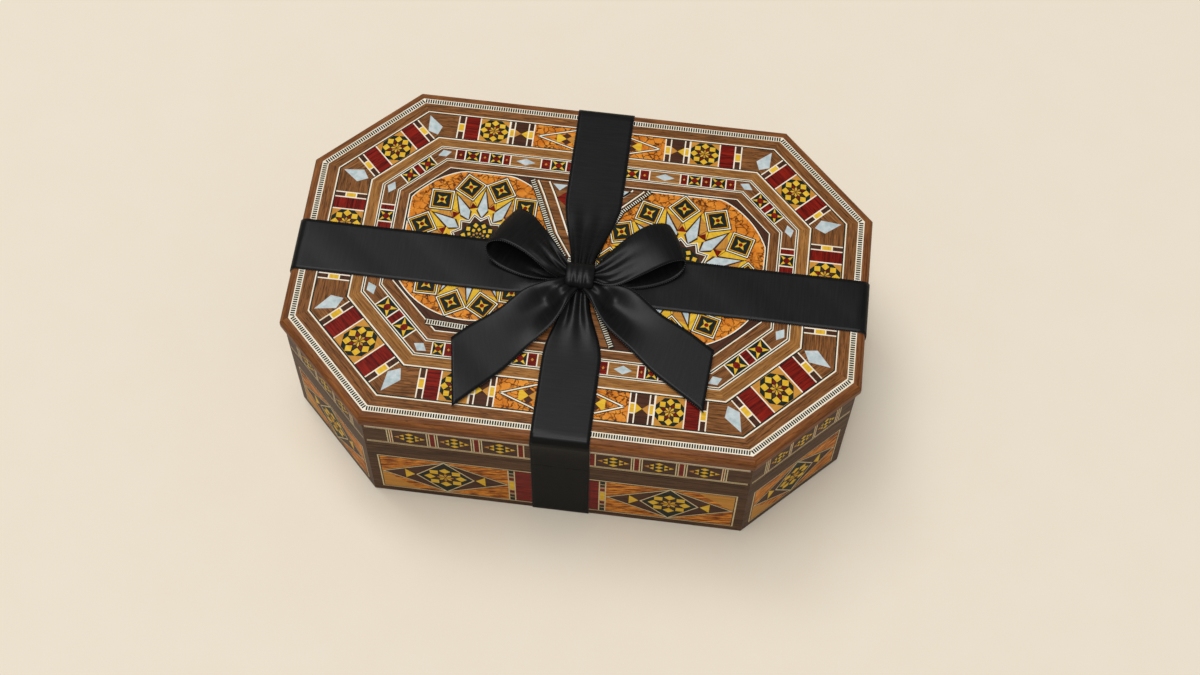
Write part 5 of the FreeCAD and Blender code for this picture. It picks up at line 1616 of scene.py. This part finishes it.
# The two edges of each loop of the bow, from the knot and back to it
LOOP_EDGES = {
    "left": (
        ((-3.5, -4.0, 83.4), (-8.0, 0.8, 84.8), (-13.2, 7.2, 86.4), (-18.4, 13.4, 86.6),
         (-23.4, 18.8, 86.0), (-27.6, 21.8, 84.8), (-30.6, 22.9, 83.0), (-32.0, 22.3, 80.8),
         (-30.6, 20.4, 79.2), (-27.4, 17.2, 78.7), (-22.6, 12.4, 78.6), (-17.4, 7.4, 78.9),
         (-12.0, 2.4, 79.6), (-7.0, -2.0, 80.6), (-3.5, -4.0, 81.2)),
        ((-3.5, -8.6, 83.2), (-8.5, -9.0, 84.6), (-14.5, -7.6, 88.0), (-21.0, -4.2, 90.6),
         (-28.0, -0.8, 91.5), (-34.5, 1.4, 91.3), (-39.6, 1.8, 89.0), (-41.6, 0.8, 85.6),
         (-40.0, -1.6, 81.6), (-36.0, -4.0, 79.5), (-30.0, -6.2, 78.8), (-23.0, -8.0, 79.0),
         (-15.0, -9.0, 79.8), (-8.0, -9.0, 80.6), (-3.5, -8.6, 81.2))),
    "right": (
        ((4.5, -8.6, 82.4), (8.0, -9.6, 83.2), (12.7, -11.0, 83.9), (18.5, -9.6, 84.6),
         (27.0, -4.6, 86.2), (35.5, 0.8, 87.2), (41.0, 4.0, 86.6), (44.4, 5.6, 84.6),
         (44.6, 4.2, 81.6), (42.4, 0.8, 79.6), (38.0, -2.6, 78.9), (31.0, -5.8, 78.8),
         (22.0, -8.2, 79.2), (12.0, -9.0, 80.2), (4.5, -8.6, 80.8)),
        ((4.5, -4.0, 83.4), (8.4, 0.8, 84.8), (13.6, 6.8, 86.4), (19.8, 13.4, 87.2),
         (26.2, 19.0, 87.0), (31.6, 21.9, 85.8), (35.6, 22.9, 83.8), (37.0, 22.4, 81.2),
         (35.2, 20.4, 79.4), (31.0, 17.0, 78.8), (25.0, 12.4, 78.7), (18.2, 6.8, 79.0),
         (12.0, 1.8, 79.8), (7.5, -2.2, 80.6), (4.5, -4.0, 81.0))),
}


@dataclass(frozen=True)
class Tail:
    """A tail of the bow, which swells out of the knot and lies down on the lid, cut on the slant.

    It runs degrees round from the right, one edge is longer than the other by slant, and its left edge, seen
    from the knot, lies higher than the right one by tilt. Pairs that end in ing hold where a change starts
    and how long it takes.
    """

    degrees: float
    length: float
    slant: float
    hump: float
    tilt: float
    count: int = 46
    start: float = 3.5
    throat: float = 4.0
    opening: Point = (2.0, 24.0)
    open_share: float = 0.42
    widening: Point = (34.0, 20.0)
    wide_share: float = 0.08
    hump_middle: float = 18.0
    hump_length: float = 13.0
    dish_share: float = 0.9
    dish_sharpness: float = 1.3
    dishing: Point = (9.0, 10.0)
    rest: float = 1.15
    root: float = 1.6
    settling: Point = (3.0, 16.0)
    tilting: Point = (16.0, 26.0)
    pleats: float = 2.6
    pleat_height: float = 1.1
    smoothing: Point = (3.0, 20.0)
    curl: float = 0.5
    curl_length: float = 14.0
    curl_ease: float = 16.0

    def half(self, distance: float) -> float:
        """Half the tail's width at a distance from the knot."""
        opened = RIBBON_WIDTH * self.open_share - self.throat
        widened = RIBBON_WIDTH * self.wide_share * ramp(distance, self.widening)
        return self.throat + opened * ramp(distance, self.opening) + widened

    def height(self, distance: float, share: float) -> float:
        """How high the tail lies above the lid at a distance and a share of its half width."""
        rise = math.exp(-((distance - self.hump_middle) / self.hump_length) ** 2)
        hollow = self.dish_share * math.exp(-(share * self.dish_sharpness) ** 2)
        height = self.rest + self.root * (1 - ramp(distance, self.settling))
        height += self.hump * rise * (1 - hollow * ramp(distance, self.dishing))
        height += ramp(distance, self.tilting) * (abs(self.tilt) + self.tilt * share) / 2
        fold = 0.5 + 0.5 * math.cos(math.pi * self.pleats * share)
        height += self.pleat_height * fold * (1 - ramp(distance, self.smoothing))
        return height + self.curl * ramp(distance, (self.length - self.curl_length, self.curl_ease))

    def rows(self, columns: int) -> Rows:
        """Rows of points across the tail, from the knot to its end."""
        turn = math.radians(self.degrees)
        way = Vector((math.cos(turn), math.sin(turn), 0))
        across = UP.cross(way)
        rows = []
        for index in range(self.count):
            row = []
            for column in range(columns):
                share = 2 * column / (columns - 1) - 1
                end = self.length + self.slant / 2 * share
                distance = self.start + (end - self.start) * (index / (self.count - 1))
                level = LID_TOP + self.height(distance, share)
                row.append(KNOT + way * distance + across * self.half(distance) * share + UP * level)
            rows.append(row)
        return rows


TAILS = {"left": Tail(degrees=226.5, length=70.0, slant=19.0, hump=6.4, tilt=-2.2),
         "right": Tail(degrees=325.5, length=72.5, slant=-15.0, hump=6.0, tilt=0.8)}


@dataclass(frozen=True)
class Knot:
    """The knot: a turn of ribbon wrapped round the middle, pleated, with its edges tucked in."""

    # Places across the knot, and how far out it reaches there
    profile_shares: tuple[Point, ...] = (
        (-3.2, 0.46), (-5.2, 0.52), (-6.5, 0.66), (-6.9, 0.82), (-6.3, 0.95), (-4.8, 1.01), (-3.4, 0.97),
        (-2.0, 1.03), (-0.6, 0.99), (0.8, 1.04), (2.2, 0.98), (3.6, 1.03), (5.0, 1.0), (6.3, 0.94),
        (6.9, 0.82), (6.5, 0.66), (5.2, 0.52), (3.2, 0.46))
    columns: int = 49
    count: int = 57
    width_share: float = 0.9
    half_depth: float = 6.0
    half_height: float = 4.4
    level: float = 4.75
    roundness: float = 0.86
    wobble_share: float = 0.012
    wrap_share: float = 0.995

    def rows(self) -> Rows:
        """Rows of points across the ribbon, once round the knot."""
        across = smooth_path([Vector((*place, 0)) for place in self.profile_shares], self.columns)
        rows = []
        for index in range(self.count):
            turn = 2 * math.pi * index / (self.count - 1) * self.wrap_share
            ahead, above = (math.copysign(abs(wave) ** self.roundness, wave) * half for wave, half in (
                (math.cos(turn), self.half_depth), (math.sin(turn), self.half_height)))
            row = []
            for place in across:
                share = place.y + self.wobble_share * math.sin(3 * turn + place.x)
                spot = (place.x * self.width_share, -ahead * share, LID_TOP + self.level + above * share)
                row.append(KNOT + Vector(spot))
            rows.append(row)
        return rows


@dataclass
class Ribbon:
    """The satin ribbon on the lid and on the base, and its bow."""

    finishes: Finishes
    columns: int = 17
    stitch: float = 0.62
    stitch_pitch: float = 0.95
    # How far the ribbon's middle lies off the walls, off the lid and above the ground
    wall_gap: float = 0.32
    lid_gap: float = 0.38
    ground_gap: float = 0.26
    # The lengths on the lid: the bend over the moulding, and places down it and down the rim
    bend: float = 3.0
    bend_steps: int = 8
    moulding_places: tuple[Point, ...] = ((0.0, 72.6), (0.0, 71.6), (-0.25, 70.2))
    rim_places: tuple[Point, ...] = ((0.55, 66.5), (0.2, 63.0), (0.0, 58.0), (0.0, 54.0),
                                     (0.0, BASE_TOP + 0.4), (0.0, BASE_TOP + 0.06))
    # How they gather, rise and pleat towards the knot, and ripple on the lid
    start: int = 4
    stride: int = 2
    gather_start: float = 5.0
    gather_share: float = 0.62
    rising: Point = (4.0, 22.0)
    rise: float = 2.2
    crown: float = 0.6
    pleat_height: float = 1.7
    pulling: Point = (4.0, 40.0)
    ripple: float = 0.16
    ripple_turn: float = 0.11
    ripple_lean: float = 1.7
    # The lengths on the base: places down the wall and round its foot, and the step where they cross
    base_drops: tuple[float, ...] = (0.04, 0.4, *range(3, 46, 3))
    foot_places: tuple[Point, ...] = ((0.0, 3.0), (0.0, 1.2), (0.12, 0.55))
    tuck: float = 0.2
    crossing_lift: float = 0.62
    crossing_gap: float = 0.6
    crossing_slope: float = 4.0
    # The loops
    loop_count: int = 64
    loop_crown: float = 0.9
    loop_root_share: float = 0.34
    loop_pleat: float = 1.15
    loop_pleats: int = 5

    def cloth(self, name: str, strips: Sequence[Rows], body: str, node: str,
              turned_in: bool = False) -> None:
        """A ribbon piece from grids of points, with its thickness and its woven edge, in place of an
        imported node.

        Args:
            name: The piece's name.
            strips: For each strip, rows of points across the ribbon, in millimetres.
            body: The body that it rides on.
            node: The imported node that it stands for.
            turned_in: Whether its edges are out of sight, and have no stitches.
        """
        points, faces, places = [], [], []
        length = 0.0
        for rows in strips:
            length += self.add_strip(rows, points, faces, places)
        piece = add_piece(name, points, faces, self.finishes.satin)
        mesh = piece.data
        chart = mesh.uv_layers.new(name="UVMap")
        for loop in mesh.loops:
            chart.data[loop.index].uv = places[loop.vertex_index]
        mesh.polygons.foreach_set("use_smooth", [True] * len(mesh.polygons))
        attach(piece, body)
        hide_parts(node)
        if not turned_in:
            paths = [[row[column] for row in rows] for rows in strips for column in (0, -1)]
            edge = row_piece(f"{name}_edge", paths, RowShape.BEAD, self.stitch_pitch, (self.stitch,) * 3,
                             self.finishes.selvedge_painted_highlight)
            edge.data.uv_layers.new(name="UVMap")
            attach(edge, body)

    @staticmethod
    def add_strip(rows: Rows, points: list[Vector], faces: list[list[int]],
                  places: list[Point]) -> float:
        """Adds one strip with its thickness to a piece's points and faces.

        Args:
            rows: Rows of points across the ribbon, in millimetres.
            points: The piece's points, in metres, which grow.
            faces: Its faces, which grow.
            places: Each point's place on the flat ribbon, in metres, which grow.

        Returns:
            The strip's length in millimetres.
        """
        first, count, width = len(points), len(rows), len(rows[0])
        travel = [0.0]
        for before, after in zip(rows, rows[1:]):
            travel.append(travel[-1] + (after[width // 2] - before[width // 2]).length)
        for sign in (1, -1):
            for index, row in enumerate(rows):
                for column, point in enumerate(row):
                    along = rows[min(index + 1, count - 1)][column] - rows[max(index - 1, 0)][column]
                    across = row[min(column + 1, width - 1)] - row[max(column - 1, 0)]
                    normal = along.cross(across).normalized()
                    points.append((point + normal * sign * RIBBON_THICKNESS / 2) * MM)
                    places.append((RIBBON_WIDTH * column / (width - 1) * MM, travel[index] * MM))

        def number(layer: int, row: int, column: int) -> int:
            """A point's number."""
            return first + layer * count * width + row * width + column

        for row in range(count - 1):
            for column in range(width - 1):
                quad = [(row, column), (row + 1, column), (row + 1, column + 1), (row, column + 1)]
                faces.append([number(0, *place) for place in quad])
                faces.append([number(1, *place) for place in reversed(quad)])
        rim = [(row, 0) for row in range(count)] + [(count - 1, column) for column in range(1, width)]
        rim += [(row, width - 1) for row in range(count - 2, -1, -1)]
        rim += [(0, column) for column in range(width - 2, 0, -1)]
        for start, end in zip(rim, [*rim[1:], rim[0]]):
            faces.append([number(0, *end), number(0, *start), number(1, *start), number(1, *end)])
        return travel[-1]

    def lid_profile(self, reach: float, wall: float) -> list[Point]:
        """Places along a length on the lid, from the knot to the seam.

        Args:
            reach: How far the lid reaches.
            wall: How far the wall reaches.

        Returns:
            For each place its distance from the box's middle and its height.
        """
        out, bend = self.wall_gap, self.bend
        spans = range(self.start, int(reach - bend), self.stride)
        profile = [(float(distance), LID_TOP + self.lid_gap) for distance in spans]
        for index in range(self.bend_steps + 1):
            turn = math.pi / 2 * index / self.bend_steps
            height = LID_TOP - bend + (bend + out) * math.cos(turn) + (self.lid_gap - out) * math.cos(turn)
            profile.append((reach - bend + (bend + out) * math.sin(turn), height))
        profile += [(reach + out + step, height) for step, height in self.moulding_places]
        return profile + [(wall + out + step, height) for step, height in self.rim_places]

    def lid_length(self, way: Vector, pleats: float, seed: float, spread: float) -> Rows:
        """One length from under the knot over the moulding to the seam.

        Args:
            way: The unit way that it runs.
            pleats: How many pleats gather at the knot.
            seed: Where the pleats start.
            spread: How far from the knot the ribbon lies flat.

        Returns:
            Rows of points across the ribbon.
        """
        across = UP.cross(way)
        size = Vector((abs(way.x), abs(way.y)))
        reach, wall = (size.dot((outline.half_length, outline.half_width)) for outline in (LID, WALLS))
        rows = []
        for distance, height in self.lid_profile(reach, wall):
            gather = 1 - ramp(distance, (self.gather_start, spread - self.gather_start))
            near = 1 - ramp(distance, self.rising)
            half = RIBBON_WIDTH / 2 * (1 - self.gather_share * gather)
            pull = way.dot(KNOT) * (1 - ramp(distance, self.pulling))
            shift = RIBBON_MIDDLE.lerp(KNOT, gather)
            middle = way * distance + UP * height + across * across.dot(shift)
            row = []
            for column in range(self.columns):
                share = 2 * column / (self.columns - 1) - 1
                fold = 0.5 + 0.5 * math.cos(math.pi * pleats * share + seed)
                lift = near * (self.rise + self.crown * (1 - share * share))
                lift += gather * self.pleat_height * fold
                if height == LID_TOP + self.lid_gap:
                    wave = math.sin(distance * self.ripple_turn + share * self.ripple_lean + seed)
                    lift += max(self.ripple * wave, 0.0)
                row.append(middle + across * half * share + UP * lift + way * pull)
            rows.append(row)
        return rows

    def on_lid(self) -> None:
        """The four lengths on the lid, each with its pleats, where they start and how far it gathers."""
        right, back = Vector((1, 0, 0)), Vector((0, 1, 0))
        lengths = {"lengthwise": ((right, 2.0, 0.4, 32.0), (-right, 2.0, 2.2, 32.0)),
                   "crosswise": ((back, 3.0, 0.6, 36.0), (-back, 2.4, 1.2, 46.0))}
        for name, halves in lengths.items():
            strips = [self.lid_length(*half) for half in halves]
            self.cloth(f"ribbon_{name}_lid", strips, "lid", f"ribbon_lid_{name}")

    def on_base(self) -> None:
        """The lengths below the seam and under the box, one over the other where they cross."""
        for name, way, wall, lift in (
                ("lengthwise", Vector((1, 0, 0)), WALLS.half_length, 0.0),
                ("crosswise", Vector((0, 1, 0)), WALLS.half_width, self.crossing_lift)):
            across = UP.cross(way)
            middle = across * across.dot(RIBBON_MIDDLE)
            crossing = way.dot(RIBBON_MIDDLE)
            out = -wall - self.wall_gap
            down = [(out, BASE_TOP - drop) for drop in self.base_drops]
            down += [(out + step, height) for step, height in self.foot_places]
            down.append((-wall + self.tuck, self.ground_gap))
            under = []
            span = int(wall) - 1
            for distance in range(-span, span + 1, self.stride):
                beside = abs(distance - crossing) - RIBBON_WIDTH / 2
                over = 1 - ramp(beside, (self.crossing_gap, self.crossing_slope))
                under.append((float(distance), self.ground_gap + lift * over))
            rows = []
            for distance, height in (*down, *under, *((-place, height) for place, height in reversed(down))):
                row = middle + way * distance + UP * height
                rows.append([row + across * RIBBON_WIDTH * (column / (self.columns - 1) - 0.5)
                             for column in range(self.columns)])
            self.cloth(f"ribbon_{name}_base", [rows], "base", f"ribbon_base_{name}")

    def loop_rows(self, front: Sequence[Place], back: Sequence[Place]) -> Rows:
        """A loop spread between two edges, crowned across its width and pleated where it enters the knot."""
        count = self.loop_count
        edges = [smooth_path([Vector(point) for point in line], count) for line in (front, back)]
        rows = []
        for index in range(count):
            start, end = edges[0][index], edges[1][index]
            ahead = min(index + 1, count - 1)
            behind = max(index - 1, 0)
            along = edges[0][ahead] - edges[0][behind] + edges[1][ahead] - edges[1][behind]
            normal = along.cross(end - start).normalized()
            swell = self.loop_crown * math.sin(math.pi * index / (count - 1))
            root = 1 - ease(min(index, count - 1 - index) / (self.loop_root_share * count))
            row = []
            for column in range(self.columns):
                share = column / (self.columns - 1)
                pleat = self.loop_pleat * root * math.cos(math.pi * self.loop_pleats * share)
                row.append(start.lerp(end, share) + normal * (swell * 4 * share * (1 - share) + pleat))
            rows.append(row)
        return rows

    def bow(self) -> None:
        """The loops, the tails and the knot."""
        for side, edges in LOOP_EDGES.items():
            rows = self.loop_rows(*edges)
            self.cloth(f"bow_loop_{side}", [rows], "lid", f"bow_{side}_loop")
        for side, tail in TAILS.items():
            rows = tail.rows(self.columns)
            self.cloth(f"bow_tail_{side}", [rows], "lid", f"bow_{side}_tail")
        self.cloth("bow_knot_turn", [Knot().rows()], "lid", "bow_knot", turned_in=True)


# Hinges

@dataclass
class HingeScrews:
    """The slotted heads of the screws that hold the hinges, let into their leaves."""

    finishes: Finishes
    hinge_offset: float = 45.0
    spacing: float = 8.0
    row: float = 77.7
    radius: float = 1.15
    slot_width: float = 0.3
    proud: float = 0.05
    corners: int = 12

    def build(self) -> None:
        """Three heads in each leaf, on the body that the leaf belongs to."""
        for name, body, level, proud in (("hinge_screws_lower", "base", BASE_TOP, self.proud),
                                         ("hinge_screws_upper", "lid", RIM_BOTTOM, -self.proud)):
            points, faces = [], []
            for sign in (-1, 1):
                for place in (-1, 0, 1):
                    middle = Vector((sign * self.hinge_offset + place * self.spacing, self.row, level))
                    for half in (0, 1):
                        self.half_head(middle, half * math.pi, proud, points, faces)
            piece = add_piece(name, points, faces, self.finishes.brass)
            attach(piece, body)

    def half_head(self, middle: Vector, turn: float, proud: float, points: list[Vector],
                  faces: list[list[int]]) -> None:
        """One side of a head, from the slot to the rim.

        Args:
            middle: The head's middle on the leaf, in millimetres.
            turn: Which side of the slot it is.
            proud: How far it stands out of the leaf, negative where the leaf faces down.
            points: The piece's points, in metres, which grow.
            faces: Its faces, which grow.
        """
        first, count = len(points), self.corners
        lean = math.asin(self.slot_width / 2 / self.radius)
        for height in sorted((-proud / 2, proud)):
            for index in range(count):
                angle = turn + lean + (math.pi - 2 * lean) * index / (count - 1)
                way = Vector((math.cos(angle), math.sin(angle), 0))
                points.append((middle + way * self.radius + UP * height) * MM)
        faces.append([first + index for index in reversed(range(count))])
        faces.append([first + count + index for index in range(count)])
        for index in range(count):
            after = (index + 1) % count
            faces.append([first + index, first + after, first + count + after, first + count + index])


# Stage

@dataclass(frozen=True)
class Lamp:
    """A square soft light that faces the box: its place and size in metres, and its power in watts."""

    name: str
    place: Place
    power: float
    size: float


@dataclass(frozen=True)
class Studio:
    """The floor, the lights and the camera at the photograph's viewing angle."""

    focal_share: float = 1941.84 / 1200
    sensor: float = 36.0
    camera_place: Place = (48.5, -412.6, 812.05)
    turn: Place = (2.657229, 0.166221, -0.021075)
    far: float = 20.0
    floor_half: float = 6.0
    floor_tones: tuple[Colour, Colour] = (linear(230, 219, 200), linear(232, 222, 204))
    floor_grain: float = 40.0
    sky: Colour = (1.0, 0.985, 0.96, 1.0)
    sky_strength: float = 0.24
    aim: Place = (0.0, 0.0, 0.04)
    lamps: tuple[Lamp, ...] = (Lamp("overhead", (-0.85, 0.45, 6.4), power=190.0, size=3.4),
                               Lamp("front", (0.1, -2.75, 6.0), power=126.0, size=1.8),
                               Lamp("left", (-2.4, 2.2, 5.6), power=62.0, size=2.0))

    def build(self) -> None:
        """Sets up everything that isn't the box."""
        self.camera()
        self.floor()
        self.lights()
        bpy.context.scene.view_settings.view_transform = "Standard"

    def camera(self) -> None:
        """The camera, from its rotation vector and place."""
        axis = Vector(self.turn)
        look = Matrix.Rotation(axis.length, 3, axis.normalized())
        data = bpy.data.cameras.new("camera")
        data.sensor_width = self.sensor
        data.lens = self.focal_share * self.sensor
        data.clip_end = self.far
        camera = add_object("camera", data)
        right, down, ahead = look[0], look[1], look[2]
        matrix = Matrix((right, -down, -ahead)).transposed().to_4x4()
        matrix.translation = Vector(self.camera_place) * MM
        camera.matrix_world = matrix
        bpy.context.scene.camera = camera

    def floor(self) -> None:
        """A plain pale floor."""
        material = bpy.data.materials.new("floor")
        material.use_nodes = True
        tree = Tree(material.node_tree)
        shader = material.node_tree.nodes["Principled BSDF"]
        shader.inputs["Roughness"].default_value = 0.9
        shader.inputs["Specular IOR Level"].default_value = 0.1
        place = tree.add("ShaderNodeTexCoord").outputs["Object"]
        tone = tree.mix(tree.noise(place, self.floor_grain, 3.0), *self.floor_tones)
        tree.feed(shader.inputs["Base Color"], tone)
        half = self.floor_half
        corners = [Vector((*corner, 0)) for corner in rectangle(-half, half, -half, half)]
        add_piece("floor", corners, [[0, 1, 2, 3]], material)

    def lights(self) -> None:
        """A large soft light overhead, weaker ones from the front and the left, and an even world."""
        world = bpy.data.worlds.new("studio")
        world.use_nodes = True
        background = world.node_tree.nodes["Background"]
        background.inputs["Color"].default_value = self.sky
        background.inputs["Strength"].default_value = self.sky_strength
        bpy.context.scene.world = world
        for lamp in self.lamps:
            data = bpy.data.lights.new(lamp.name, "AREA")
            data.energy = lamp.power
            data.size = lamp.size
            light = add_object(lamp.name, data)
            light.location = lamp.place
            ahead = Vector(self.aim) - Vector(lamp.place)
            light.rotation_euler = ahead.to_track_quat("-Z", "Y").to_euler()


def main() -> None:
    """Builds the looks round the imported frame."""
    logging.basicConfig(level=logging.INFO, format="%(name)s: %(message)s")
    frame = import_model()
    Studio().build()
    finishes = Finishes().build()
    finishes.dress_nodes(frame["nodes"])
    TopMosaic(finishes).build()
    WallMosaic(finishes).build()
    HingeScrews(finishes).build()
    ribbon = Ribbon(finishes)
    ribbon.on_lid()
    ribbon.on_base()
    ribbon.bow()


if __name__ == "__main__":
    main()
